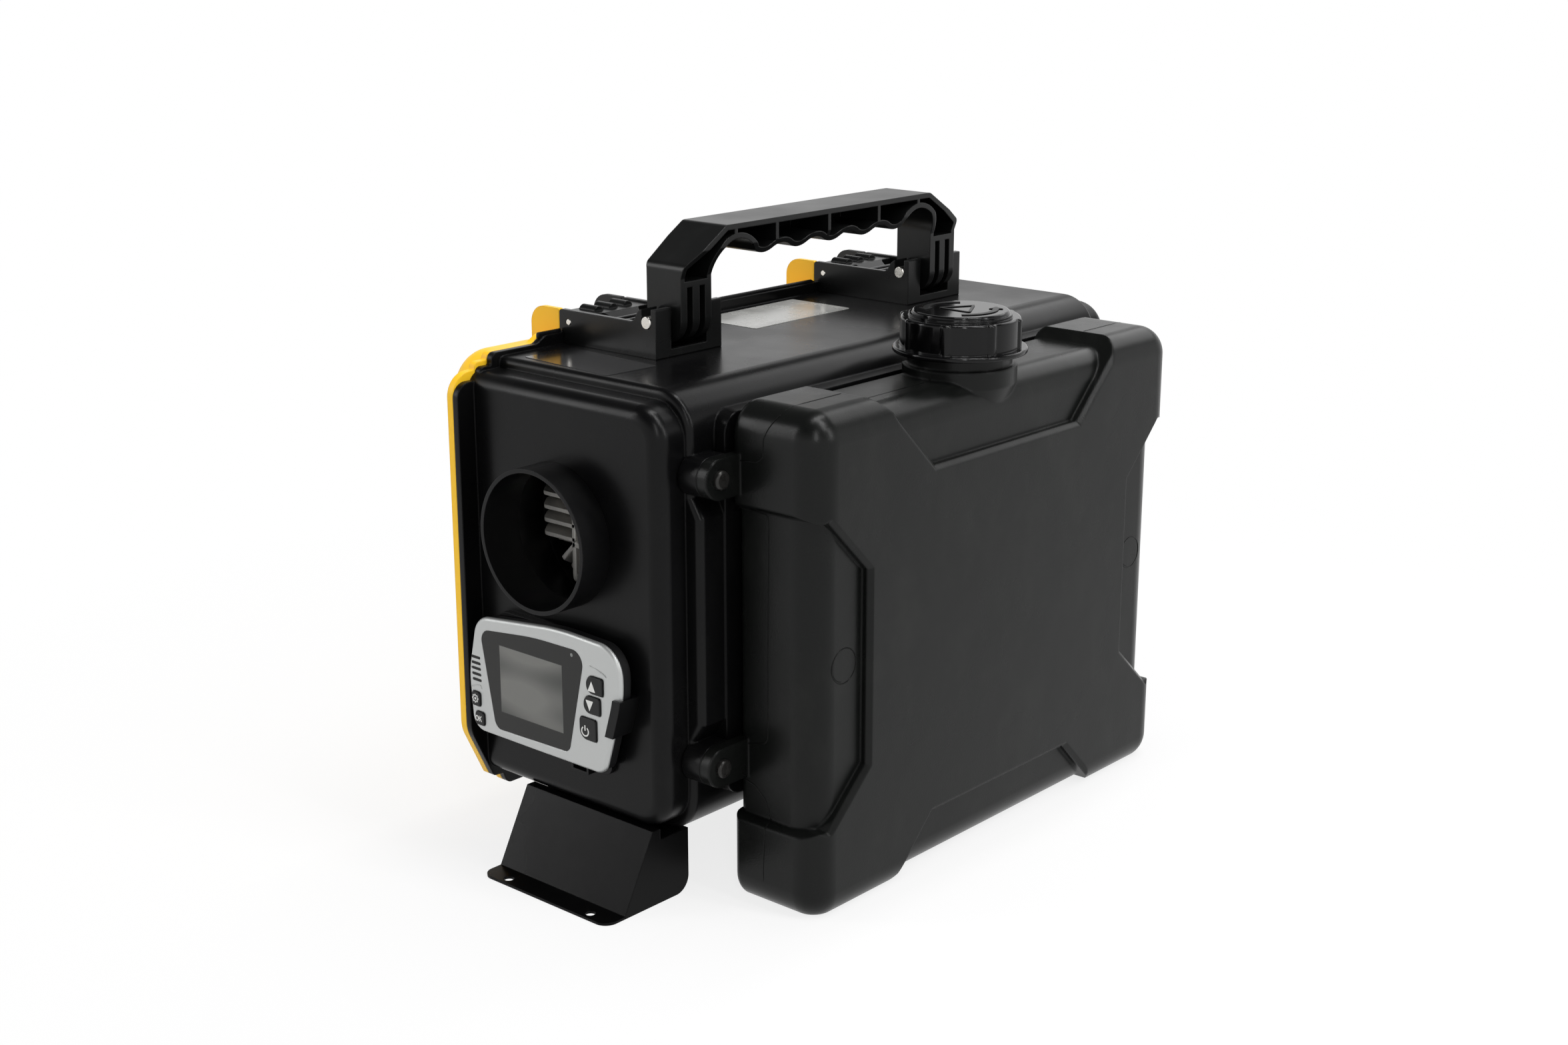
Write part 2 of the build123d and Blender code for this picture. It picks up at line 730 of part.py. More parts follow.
def tank_panel_outline(reach):
    """Raised panel seen along X: a centre with four arms that run out to the corners."""
    top_notch_z = tank_top - 45.0
    top_notch_y = 71.0
    top_open_y = 117.0
    low_notch_z = tank_bottom + 33.5
    low_notch_y = 68.6
    low_open_y = 102.0
    side_notch_y = tank_half_len - 45.5
    side_notch_low = tank_bottom + 82.5
    side_notch_high = tank_top - 93.0
    ledge_y = tank_half_len - 12.0
    ledge_low = tank_bottom + 51.5
    ledge_high = tank_top - 59.5
    ledge_round = 11.0
    high, low, wide = tank_top + reach, tank_bottom - reach, tank_half_len + reach
    half = [
        (low_notch_y, low_notch_z),
        (low_open_y, tank_bottom),
        (low_open_y, low),
        (wide, low),
        (wide, ledge_low),
        (ledge_y, ledge_low),
        (side_notch_y, side_notch_low),
        (side_notch_y, side_notch_high),
        (ledge_y, ledge_high),
        (wide, ledge_high),
        (wide, high),
        (top_open_y, high),
        (top_open_y, tank_top),
        (top_notch_y, top_notch_z),
    ]
    with BuildSketch() as outline:
        with BuildLine():
            Polyline(*half, *[(-y, z) for y, z in reversed(half)], close=True)
        make_face()
        at_ends = outline.vertices().filter_by(lambda v: abs(v.X) > wide - 1)
        ledge_ends = at_ends.filter_by(lambda v: ledge_low - 1 < v.Y < ledge_high + 1)
        fillet(ledge_ends, ledge_round)
    return outline.sketch


def tank_box(steps, wall=0.0):
    """Rounded tank form cut flat below; `steps` and `wall` draw it inside the full size."""
    front_step, side_step, low_step = steps
    low = tank_bottom + low_step + wall
    high = tank_top - front_step - wall
    half_len = tank_half_len - side_step - wall
    back = tank_back_x + wall
    with BuildPart() as form:
        with BuildSketch(Plane.YZ.offset(back)):
            with Locations((0, (low - tank_under + high) / 2)):
                RectangleRounded(2 * half_len, high - low + tank_under, tank_corner - wall)
        extrude(amount=tank_front_x - front_step - wall - back)
        fillet(form.faces().sort_by(Axis.X)[-1].edges(), tank_front_round - wall)
        fillet(form.faces().sort_by(Axis.X)[0].edges(), tank_back_round - wall)
        split(bisect_by=Plane.XY.offset(low), keep=Keep.TOP)
    return form.part


panel_steps = (0.0, 0.0, 0.0)
core_steps = (tank_step, tank_side_step, tank_low_step)

with BuildPart() as tank_panel:
    with BuildSketch(Plane.YZ.offset(tank_back_x)):
        add(tank_panel_outline(tank_slope))
    extrude(amount=tank_depth)
    chamfer(tank_panel.faces().sort_by(Axis.X)[-1].edges(), tank_slope)
    add(tank_box(panel_steps), mode=Mode.INTERSECT)

with BuildPart() as tank_neck:
    # Filler neck on a short cone, flat at the back
    with BuildSketch(Plane.XZ.offset(-neck_y)):
        with BuildLine():
            Polyline(
                (neck_x, neck_foot_z),
                (neck_x + neck_foot_r, neck_foot_z),
                (neck_x + neck_r, neck_foot_z + neck_cone),
                (neck_x + neck_r, neck_top),
                (neck_x, neck_top),
                close=True,
            )
        make_face()
    revolve(axis=Axis((neck_x, neck_y, 0), (0, 0, 1)))
    split(bisect_by=Plane.YZ.offset(tank_back_x), keep=Keep.TOP)

with BuildPart() as fuel_tank:
    add(tank_box(core_steps))
    add(tank_panel.part)
    add(tank_neck.part)
    # Thread for the cap
    with BuildSketch(Plane.XY.offset(neck_top - thread_root)):
        with Locations((neck_x, neck_y)):
            Circle(thread_r)
    extrude(amount=thread_top - neck_top + thread_root)
    # Screw ears at both ends
    with BuildSketch(Plane.YZ.offset(tank_back_x)):
        for side in (-1, 1):
            for z in (lug_low_z, lug_high_z):
                with Locations((side * lug_y, z)):
                    Circle(lug_r)
                with Locations((side * (lug_y - lug_r), z)):
                    Rectangle(2 * lug_r, 2 * lug_r)
    extrude(amount=lug_thick)
    # Hollow inside, open through the neck
    add(tank_box(core_steps, tank_wall), mode=Mode.SUBTRACT)
    with Locations((neck_x, neck_y, tank_top - 30)):
        Cylinder(neck_bore_r, 60, align=(Align.CENTER, Align.CENTER, Align.MIN), mode=Mode.SUBTRACT)
    # Screw holes through the ears
    with BuildSketch(Plane.YZ.offset(tank_back_x)):
        for side in (-1, 1):
            for z in (lug_low_z, lug_high_z):
                with Locations((side * lug_y, z)):
                    Circle(lug_screw_r + lug_screw_gap)
    extrude(amount=lug_thick, mode=Mode.SUBTRACT)
save(fuel_tank, "fuel_tank")


with BuildPart() as tank_screws:
    for side in (-1, 1):
        for z in (lug_low_z, lug_high_z):
            with BuildSketch(Plane.YZ.offset(side_x - case_wall)):
                with Locations((side * lug_y, z)):
                    Circle(lug_screw_r)
            extrude(amount=tank_back_x + lug_thick - side_x + case_wall)
            with BuildSketch(Plane.YZ.offset(tank_back_x + lug_thick)):
                with Locations((side * lug_y, z)):
                    Circle(5.4)
            extrude(amount=2.8)
    fillet(tank_screws.faces().sort_by(Axis.X)[-4:].edges(), 1.6)
save(tank_screws, "tank_screws")


# ---------------------------------------------------------------- filler cap

with BuildPart() as filler_cap:
    with Locations((neck_x, neck_y, cap_low)):
        Cylinder(cap_flange_r, cap_body_low - cap_low, align=(Align.CENTER, Align.CENTER, Align.MIN))
    fillet(filler_cap.edges(), 1.2)
    with BuildSketch(Plane.XY.offset(cap_body_low)):
        with Locations((neck_x, neck_y)):
            Circle(cap_body_r)
            with PolarLocations(cap_body_r - 2.5, cap_lobes, start_angle=22.5):
                Circle(cap_lobe_r - cap_body_r + 2.5)
    extrude(amount=cap_body_high - cap_body_low)
    fillet(filler_cap.faces().sort_by(Axis.Z)[-1].edges(), 1.6)
    with Locations((neck_x, neck_y, cap_body_high)):
        Cylinder(cap_ring_r, cap_ring_rise, align=(Align.CENTER, Align.CENTER, Align.MIN))
        Cylinder(cap_disc_r, cap_high - cap_body_high, align=(Align.CENTER, Align.CENTER, Align.MIN))
    fillet(filler_cap.faces().sort_by(Axis.Z)[-1].edges(), 1.4)
    with Locations((neck_x, neck_y, cap_low)):
        Cylinder(
            thread_r + cap_gap,
            cap_inside_z - cap_low,
            align=(Align.CENTER, Align.CENTER, Align.MIN),
            mode=Mode.SUBTRACT,
        )
save(filler_cap, "filler_cap")

with BuildPart() as cap_gasket:
    with Locations((neck_x, neck_y, thread_top + gasket_gap)):
        Cylinder(thread_r, gasket_thick, align=(Align.CENTER, Align.CENTER, Align.MIN))
save(cap_gasket, "cap_gasket")


# ---------------------------------------------------------------- feet

def make_foot(side, label):
    """Folded steel foot: sloping front plate, side cheeks, top flange and slotted floor flange."""
    bottom = case_bottom
    with BuildPart() as foot:
        # Solid wedge under the case, hollowed from behind and from above the floor
        with BuildSketch(Plane.YZ.offset(foot_x_mid)):
            with BuildLine():
                Polyline(
                    (side * foot_back_y, bottom),
                    (side * (foot_top_y - 6), bottom),
                    (side * (foot_top_y - 6), bottom + cap_inset),
                    (side * foot_top_y, bottom + cap_inset),
                    (side * foot_fold_y, 0),
                    (side * foot_back_y, 0),
                    close=True,
                )
            make_face()
        extrude(amount=foot_width / 2, both=True)
        back_edge = foot.edges().filter_by(Axis.X).sort_by(lambda e: abs(e.center().Y) + e.center().Z)[0]
        fillet(back_edge, 10.0)
        with BuildSketch(Plane.YZ.offset(foot_x_mid)):
            with BuildLine():
                Polyline(
                    (side * (foot_back_y - 1), bottom - foot_sheet),
                    (side * (foot_top_y - 2 * foot_sheet + 3), bottom - foot_sheet),
                    (side * (foot_fold_y - 2 * foot_sheet), -1),
                    (side * (foot_back_y - 1), -1),
                    close=True,
                )
            make_face()
        extrude(amount=foot_width / 2 - foot_sheet, both=True, mode=Mode.SUBTRACT)
        # Floor flange with two holes and rounded outer corners
        with BuildSketch(Plane.XY):
            with Locations((foot_x_mid, side * (foot_fold_y + foot_flange / 2 - 1))):
                Rectangle(foot_width, foot_flange + 2)
        extrude(amount=foot_sheet)
        outer = foot.edges().filter_by(Axis.Z).filter_by(lambda e: abs(e.center().Y) > foot_fold_y + foot_flange - 1)
        fillet(outer, 8.0)
        with BuildSketch(Plane.XY):
            with Locations((foot_x_mid, side * (foot_fold_y + foot_flange - foot_hole_in))):
                with GridLocations(foot_hole_span, 1, 2, 1):
                    Circle(foot_hole_r)
        extrude(amount=foot_sheet, mode=Mode.SUBTRACT)
    save(foot, label)


for side, word in ((-1, "near"), (1, "far")):
    make_foot(side, f"foot_{word}")


# ---------------------------------------------------------------- warm-air outlet and heater

def ring_along_y(outer, inner, y_from, length, x=outlet_x, z=outlet_z):
    """Tube or disc on an axis along Y, from y_from towards +Y."""
    with BuildPart() as ring:
        with BuildSketch(Plane.XZ.offset(-y_from)):
            with Locations((x, z)):
                Circle(outer)
                if inner:
                    Circle(inner, mode=Mode.SUBTRACT)
        extrude(amount=-length)
    return ring.part


rim_y = -case_end - outlet_reach

with BuildPart() as outlet_collar:
    # Collar through the end wall, its inside flange and the funnel back to the heater
    with BuildSketch(Plane.YZ.offset(outlet_x)):
        with BuildLine():
            Polyline(
                (rim_y, outlet_z + outlet_r - outlet_wall),
                (rim_y, outlet_z + outlet_r),
                (-case_end, outlet_z + outlet_r),
                (-case_end, outlet_z + outlet_r - collar_step),
                (inside_y, outlet_z + outlet_r - collar_step),
                (inside_y, outlet_z + outlet_r + 6),
                (inside_y + 3, outlet_z + outlet_r + 6),
                (jacket_front_y, outlet_z + jacket_r),
                (jacket_front_y, outlet_z + jacket_r - jacket_wall),
                (inside_y + 3, outlet_z + outlet_r - outlet_wall),
                close=True,
            )
        make_face()
    revolve(axis=Axis((outlet_x, 0, outlet_z), (0, 1, 0)))
save(outlet_collar, "outlet_collar")

jacket_len = jacket_end_y - jacket_front_y
for word, turn in (("upper", 1), ("lower", -1)):
    with BuildPart() as jacket:
        add(ring_along_y(jacket_r, jacket_r - jacket_wall, jacket_front_y, jacket_len))
        # Clip flanges along the split
        with BuildSketch(Plane.XY.offset(outlet_z)):
            for place in (-1, 1):
                with Locations((outlet_x + place * (jacket_r + 2), (jacket_front_y + jacket_end_y) / 2)):
                    Rectangle(6, jacket_len - 40)
        extrude(amount=turn * 3)
        split(bisect_by=Plane.XY.offset(outlet_z), keep=Keep.TOP if turn > 0 else Keep.BOTTOM)
        if turn < 0:
            # Openings for the exhaust and burner air pipes
            with BuildSketch(Plane.XY.offset(outlet_z)):
                with Locations((outlet_x, exhaust_y), (outlet_x, burner_air_y)):
                    Circle(pipe_r + floor_gap)
            extrude(amount=-jacket_r - 1, mode=Mode.SUBTRACT)
    save(jacket, f"heater_jacket_{word}")

with BuildPart() as heat_exchanger:
    # Cast body closed at the outlet end, with straight fins on four sides and at the corners
    with BuildSketch(Plane.XZ.offset(-exchanger_front_y)):
        with Locations((outlet_x, outlet_z)):
            RectangleRounded(2 * exchanger_core_r, 2 * exchanger_core_r, 5)
            for place in fin_places:
                with Locations((0, place)):
                    Rectangle(2 * fin_reach, fin_thick)
                with Locations((place, 0)):
                    Rectangle(fin_thick, 2 * fin_reach)
            for turn in (45, 135):
                SlotOverall(2 * fin_reach, fin_thick + 1, rotation=turn)
            Circle(fin_reach, mode=Mode.INTERSECT)
    extrude(amount=-exchanger_len + flange_thick)
    add(ring_along_y(burner_r + 4, 0, exchanger_front_y + exchanger_len - flange_thick, flange_thick))
    # Boss for the exhaust pipe
    with BuildSketch(Plane.XY.offset(outlet_z)):
        with Locations((outlet_x, exhaust_y)):
            Circle(pipe_r + 3)
    extrude(amount=-fin_reach)
    add(
        ring_along_y(
            exchanger_core_r - exchanger_wall, 0, exchanger_front_y + exchanger_wall, exchanger_len
        ),
        mode=Mode.SUBTRACT,
    )
    with BuildSketch(Plane.XY.offset(outlet_z)):
        with Locations((outlet_x, exhaust_y)):
            Circle(pipe_r - pipe_wall - pipe_swage)
    extrude(amount=-fin_reach, mode=Mode.SUBTRACT)
save(heat_exchanger, "heat_exchanger")

burner_y = exchanger_front_y + exchanger_len
flame_tube_r = exchanger_core_r - exchanger_wall - 4
motor_y = burner_y + burner_len + 14.0
fan_y = motor_y + motor_len + 10.0
with BuildPart() as burner_tube:
    # Combustion tube inside the exchanger and the burner head that closes it
    add(ring_along_y(flame_tube_r, flame_tube_r - 2, exchanger_front_y + 30, exchanger_len - 30))
    add(ring_along_y(burner_r, 0, burner_y, burner_len))
    add(ring_along_y(flame_tube_r - 2, 0, burner_y, burner_len - 8), mode=Mode.SUBTRACT)
save(burner_tube, "burner_tube")

with BuildPart() as glow_plug:
    with BuildSketch(Plane.XY.offset(outlet_z + burner_r)):
        with Locations((outlet_x, burner_y + 12)):
            Circle(4.0)
    extrude(amount=8.0)
    with BuildSketch(Plane.XY.offset(outlet_z + burner_r + 8.0)):
        with Locations((outlet_x, burner_y + 12)):
            RegularPolygon(6.0, 6)
    extrude(amount=4.0)
save(glow_plug, "glow_plug")

with BuildPart() as fan_motor:
    # Motor can with a three-armed mounting plate across the jacket
    add(ring_along_y(motor_r, 0, motor_y, motor_len))
    with BuildSketch(Plane.XZ.offset(-motor_y)):
        with Locations((outlet_x, outlet_z)):
            with PolarLocations(jacket_r / 2, 3, start_angle=90):
                Rectangle(jacket_r - jacket_wall - 3, 10)
            Circle(motor_r)
        with Locations((outlet_x, outlet_z)):
            Circle(jacket_r - jacket_wall, mode=Mode.INTERSECT)
    extrude(amount=-4.0)
    add(ring_along_y(shaft_r + 4.0, 0, motor_y - 6, motor_len + 12), mode=Mode.SUBTRACT)
save(fan_motor, "fan_motor")

with BuildPart() as motor_bearings:
    for y in (motor_y, motor_y + motor_len - 6):
        add(ring_along_y(shaft_r + 4.0, shaft_r + bearing_gap, y, 6))
save(motor_bearings, "motor_bearings")

with BuildPart() as fan_rotor:
    # Shaft with a combustion impeller at one end and an axial fan at the other
    add(ring_along_y(shaft_r, 0, motor_y - 12, motor_len + 12 + 10 + fan_len + 2))
    add(ring_along_y(impeller_r, 0, motor_y - 12, 2))
    with BuildSketch(Plane.XZ.offset(-(motor_y - 10))):
        with Locations((outlet_x, outlet_z)):
            with PolarLocations(impeller_r - 10, 12):
                Rectangle(18, 1.6, rotation=25)
    extrude(amount=-7)
    add(ring_along_y(8, 0, motor_y - 12, 9))
    add(ring_along_y(fan_hub_r, 0, fan_y, fan_len))
    for count in range(fan_blades):
        turn = 360 / fan_blades * count
        low = Plane(
            origin=(
                outlet_x + (fan_hub_r - 2) * cos(radians(turn)),
                fan_y + fan_len / 2,
                outlet_z + (fan_hub_r - 2) * sin(radians(turn)),
            ),
            x_dir=(0, 1, 0),
            z_dir=(cos(radians(turn)), 0, sin(radians(turn))),
        )
        with BuildSketch(low):
            Rectangle(fan_len * 1.1, 2.0, rotation=35)
        with BuildSketch(low.offset(fan_r - fan_hub_r + 2)):
            Rectangle(fan_len * 1.25, 1.4, rotation=58)
        loft()
save(fan_rotor, "fan_rotor")

with BuildPart() as heater_cradle:
    # Two sheet saddles that carry the heater above the case floor
    for saddle_y in (-110.0, 100.0):
        with BuildSketch(Plane.XZ.offset(-saddle_y)):
            with Locations((outlet_x, (inner_floor + outlet_z - 30) / 2)):
                Rectangle(96, outlet_z - 30 - inner_floor)
            with Locations((outlet_x, outlet_z)):
                Circle(jacket_r, mode=Mode.SUBTRACT)
            with Locations((outlet_x, inner_floor + 46)):
                RectangleRounded(64, 72, 8, mode=Mode.SUBTRACT)
        extrude(amount=1.0, both=True)
        with BuildSketch(Plane.XY.offset(inner_floor)):
            for place in (-1, 1):
                with Locations((outlet_x + place * 40, saddle_y + 8)):
                    Rectangle(16, 18)
        extrude(amount=2.0)
save(heater_cradle, "heater_cradle")


def make_pipe(y, label, top):
    """Steel pipe straight down through the case floor, with a wider stub for its hose."""
    low = case_bottom - pipe_drop
    with BuildPart() as pipe:
        with BuildSketch(Plane.XY.offset(low)):
            with Locations((outlet_x, y)):
                Circle(pipe_r)
        extrude(amount=pipe_drop)
        with BuildSketch(Plane.XY.offset(low)):
            with Locations((outlet_x, y)):
                Circle(pipe_r - pipe_swage)
        extrude(amount=top - low)
        with BuildSketch(Plane.XY.offset(low)):
            with Locations((outlet_x, y)):
                Circle(pipe_r - pipe_wall - pipe_swage)
        extrude(amount=top - low, mode=Mode.SUBTRACT)
    save(pipe, label)


make_pipe(exhaust_y, "exhaust_pipe", outlet_z - fin_reach - bearing_gap)
make_pipe(burner_air_y, "burner_air_pipe", outlet_z - burner_r - floor_gap)

with BuildPart() as control_box:
    with BuildSketch(Plane.XY.offset(inner_floor)):
        with Locations((outlet_x - 15, -52.0)):
            RectangleRounded(70, 64, 4)
    extrude(amount=26.0)
    fillet(control_box.faces().sort_by(Axis.Z)[-1].edges(), 2.0)
save(control_box, "control_box")

with BuildPart() as tank_fitting:
    # Barbed outlet low on the tank's back
    with BuildSketch(Plane.YZ.offset(tank_back_x)):
        with Locations((line_y, fitting_z)):
            RegularPolygon(8.0, 6)
    extrude(amount=-5.0)
    with BuildSketch(Plane.YZ.offset(tank_back_x - 5.0)):
        with Locations((line_y, fitting_z)):
            Circle(hose_r)
    extrude(amount=-3.0)
save(tank_fitting, "tank_fitting")

with BuildPart() as fuel_line_tank:
    with BuildLine() as route:
        FilletPolyline(
            (tank_back_x - 8.0, line_y, fitting_z),
            (pump_x, line_y, fitting_z),
            (pump_x, line_y, filter_low),
            radius=12.0,
        )
    with BuildSketch(Plane(origin=route.line @ 0, z_dir=route.line % 0)):
        Circle(hose_r)
    sweep()
save(fuel_line_tank, "fuel_line_tank")

with BuildPart() as fuel_filter:
    with Locations((pump_x, line_y, filter_low)):
        Cylinder(filter_r, filter_high - filter_low, align=(Align.CENTER, Align.CENTER, Align.MIN))
    fillet(fuel_filter.edges(), 3.0)
save(fuel_filter, "fuel_filter")

with BuildPart() as fuel_line_filter:
    with BuildLine() as route:
        FilletPolyline(
            (pump_x, line_y, filter_high),
            (pump_x, line_y, pump_z),
            (pump_x, pump_end_y, pump_z),
            radius=11.0,
        )
    with BuildSketch(Plane(origin=route.line @ 0, z_dir=route.line % 0)):
        Circle(hose_r)
    sweep()
save(fuel_line_filter, "fuel_line_filter")

with BuildPart() as fuel_pump:
    add(ring_along_y(pump_r, 0, pump_end_y - pump_len + 8, pump_len - 16, pump_x, pump_z))
    add(ring_along_y(6.0, 0, pump_end_y - pump_len, pump_len, pump_x, pump_z))
save(fuel_pump, "fuel_pump")

with BuildPart() as pump_clip:
    add(ring_along_y(pump_r + 2.0, pump_r, pump_end_y - pump_len / 2 - 8, 16, pump_x, pump_z))
    with Locations(((pump_x + pump_r + 1 + side_x - case_wall) / 2, pump_end_y - pump_len / 2, pump_z)):
        Box(side_x - case_wall - pump_x - pump_r - 1, 16, 10)
save(pump_clip, "pump_clip")

feed_z = outlet_z - feed_drop
feed_x = outlet_x + sqrt(jacket_r**2 - (feed_drop - hose_r) ** 2) + floor_gap
with BuildPart() as fuel_line_heater:
    with BuildLine() as route:
        FilletPolyline(
            (pump_x, pump_end_y - pump_len, pump_z),
            (pump_x, pump_end_y - pump_len - 22, pump_z),
            (pump_x, pump_end_y - pump_len - 22, feed_z),
            (feed_x, pump_end_y - pump_len - 22, feed_z),
            radius=[12.0, 6.0],
        )
    with BuildSketch(Plane(origin=route.line @ 0, z_dir=route.line % 0)):
        Circle(hose_r)
    sweep()
save(fuel_line_heater, "fuel_line_heater")


# ---------------------------------------------------------------- intake end

with BuildPart() as intake_grille:
    # Collar that joins the far wall to the heater, with a ring grille outside
    add(ring_along_y(outlet_r - collar_step, outlet_r - outlet_wall, far_inside_y - 2, case_wall + 2))
    add(ring_along_y(outlet_r + 5, outlet_r - outlet_wall, case_end, 2))
    with BuildSketch(Plane.XZ.offset(-case_end)):
        with Locations((outlet_x, outlet_z)):
            for ring_r in (12, 21, 30):
                Circle(ring_r + 1.2)
                Circle(ring_r - 1.2, mode=Mode.SUBTRACT)
            with PolarLocations(outlet_r / 2, 3):
                Rectangle(outlet_r - 2, 2.4)
            Circle(5)
    extrude(amount=-2)
    with BuildSketch(Plane.YZ.offset(outlet_x)):
        with BuildLine():
            Polyline(
                (far_inside_y, outlet_z + outlet_r - outlet_wall),
                (far_inside_y, outlet_z + outlet_r + 6),
                (jacket_end_y, outlet_z + jacket_r),
                (jacket_end_y, outlet_z + jacket_r - jacket_wall),
                (far_inside_y - 2, outlet_z + outlet_r - outlet_wall),
                close=True,
            )
        make_face()
    revolve(axis=Axis((outlet_x, 0, outlet_z), (0, 1, 0)))
save(intake_grille, "intake_grille")

power_x = 10.0
power_z = 96.0
with BuildPart() as power_inlet:
    # Two-pole socket in the far wall
    with BuildSketch(Plane.XZ.offset(-case_end)):
        with Locations((power_x, power_z)):
            RectangleRounded(34, 26, 3)
    extrude(amount=-3)
    with BuildSketch(Plane.XZ.offset(-case_end - 3)):
        with Locations((power_x, power_z)):
            RectangleRounded(26, 18, 2)
            RectangleRounded(22, 14, 1.5, mode=Mode.SUBTRACT)
    extrude(amount=-7)
save(power_inlet, "power_inlet")

with BuildPart() as hinge_pins:
    for side in (-1, 1):
        start_y = side * hinge_span - 1.5 * knuckle_len - knuckle_gap
        add(ring_along_y(hinge_pin_r, 0, start_y, 3 * knuckle_len + 2 * knuckle_gap, mating_x, hinge_z))
save(hinge_pins, "hinge_pins")

with BuildPart() as foot_screws:
    # Screws through each foot's top flange into the case floor
    for side in (-1, 1):
        for place in (-1, 1):
            with Locations((foot_x_mid + place * 34, side * (foot_back_y + 10), case_bottom - foot_sheet)):
                Cylinder(4.5, 2.4, align=(Align.CENTER, Align.CENTER, Align.MAX))
save(foot_screws, "foot_screws")


# ---------------------------------------------------------------- controller

def bezel_outline(grow=0.0):
    """Controller front seen from the outlet end: wide top, narrower bottom, full corners."""
    left, right, low, high = -96.8, 31.0, 77.0, 155.5
    with BuildSketch() as outline:
        with BuildLine():
            FilletPolyline(
                (left + 1.6, low),
                (left - 1.0, low + 36.0),
                (left + 7.0, high - 7.0),
                ((left + right) / 2 + 12.0, high + 1.0),
                (right - 1.0, high - 1.0),
                (right, (low + high) / 2 + 10.0),
                (right - 15.0, low),
                radius=[10.0, 60.0, 14.0, 180.0, 18.0, 60.0, 9.0],
                close=True,
            )
        make_face()
        if grow:
            offset(amount=grow, mode=Mode.REPLACE)
    return outline.sketch


def lens_outline(grow=0.0):
    """Window of the controller: a trapezoid that narrows downwards."""
    with BuildSketch() as outline:
        with BuildLine():
            FilletPolyline(
                (-74.5, 82.5),
                (-86.0, 141.0),
                (-40.0, 146.5),
                (2.5, 147.0),
                (-12.0, 84.0),
                radius=[6.0, 7.0, 200.0, 8.0, 5.0],
                close=True,
            )
        make_face()
        if grow:
            offset(amount=grow, mode=Mode.REPLACE)
    return outline.sketch


# Middle, width and height of each key, and the radii of its right, upper left and lower left corners
button_shapes = {
    "button_up": (10.5, 129.6, 13.0, 10.4, 1.4, 5.0, 5.0),
    "button_down": (8.1, 117.4, 13.0, 10.4, 1.4, 5.0, 5.0),
    "button_power": (4.5, 102.3, 13.2, 13.0, 1.4, 2.0, 6.0),
    "button_menu": (-91.0, 97.0, 7.2, 8.8, 1.8, 1.8, 1.8),
    "button_ok": (-88.1, 85.2, 7.6, 8.2, 1.8, 1.8, 1.8),
}


def key_outline(shape, grow=0.0):
    """Outline of a key, some with a rounder left side."""
    x, z, wide, high, right_r, upper_r, lower_r = shape
    left, right = x - wide / 2 - grow, x + wide / 2 + grow
    low, top = z - high / 2 - grow, z + high / 2 + grow
    with BuildSketch() as outline:
        with BuildLine():
            FilletPolyline(
                (left, low),
                (right, low),
                (right, top),
                (left, top),
                radius=[lower_r, right_r, right_r, upper_r],
                close=True,
            )
        make_face()
    return outline.sketch


back_y = panel_y - holder_thick
bezel_y = back_y - controller_back_thick
front_y = bezel_y - bezel_thick
lens_back_y = front_y + lens_thick

def clip_band(reach):
    """Strip along the controller's right side that reaches over its edge by `reach`."""
    with BuildSketch() as outline:
        add(bezel_outline(controller_gap + clip_wall))
        add(bezel_outline(controller_gap - reach), mode=Mode.SUBTRACT)
        with Locations((clip_mid_x, (clip_low + clip_high) / 2)):
            Rectangle(clip_room, clip_high - clip_low, mode=Mode.INTERSECT)
    return outline.sketch


with BuildPart() as controller_holder:
    # Cradle plate on the case, a clip round the controller's side, and a bottom hook
    with BuildSketch(Plane.XZ.offset(-panel_y)):
        with Locations((-34.0, 112.0)):
            RectangleRounded(92, 80, 6)
    extrude(amount=holder_thick)
    with BuildSketch(Plane.XZ.offset(-panel_y)):
        add(clip_band(holder_plate_reach))
    extrude(amount=holder_thick)
    with BuildSketch(Plane.XZ.offset(-panel_y)):
        add(clip_band(0))
    extrude(amount=panel_y - front_y + controller_gap + clip_wall)
    with BuildSketch(Plane.XZ.offset(-front_y + controller_gap)):
        add(clip_band(clip_lip))
    extrude(amount=clip_wall)
    with BuildSketch(Plane.XZ.offset(-panel_y)):
        with Locations((-9.0, 73.6)):
            Rectangle(14.0, 5.0)
            Rectangle(11.0, 2.4, mode=Mode.SUBTRACT)
    extrude(amount=holder_thick + 5.0)
save(controller_holder, "controller_holder")

with BuildPart() as controller_back:
    with BuildSketch(Plane.XZ.offset(-back_y)):
        add(bezel_outline(-0.8))
    extrude(amount=controller_back_thick)
    chamfer(controller_back.faces().sort_by(Axis.Y)[-1].edges(), 1.0)
    # Pocket for the board
    with BuildSketch(Plane.XZ.offset(-bezel_y)):
        add(bezel_outline(-3.4))
    extrude(amount=-(controller_back_thick - 2.0), mode=Mode.SUBTRACT)
save(controller_back, "controller_back")

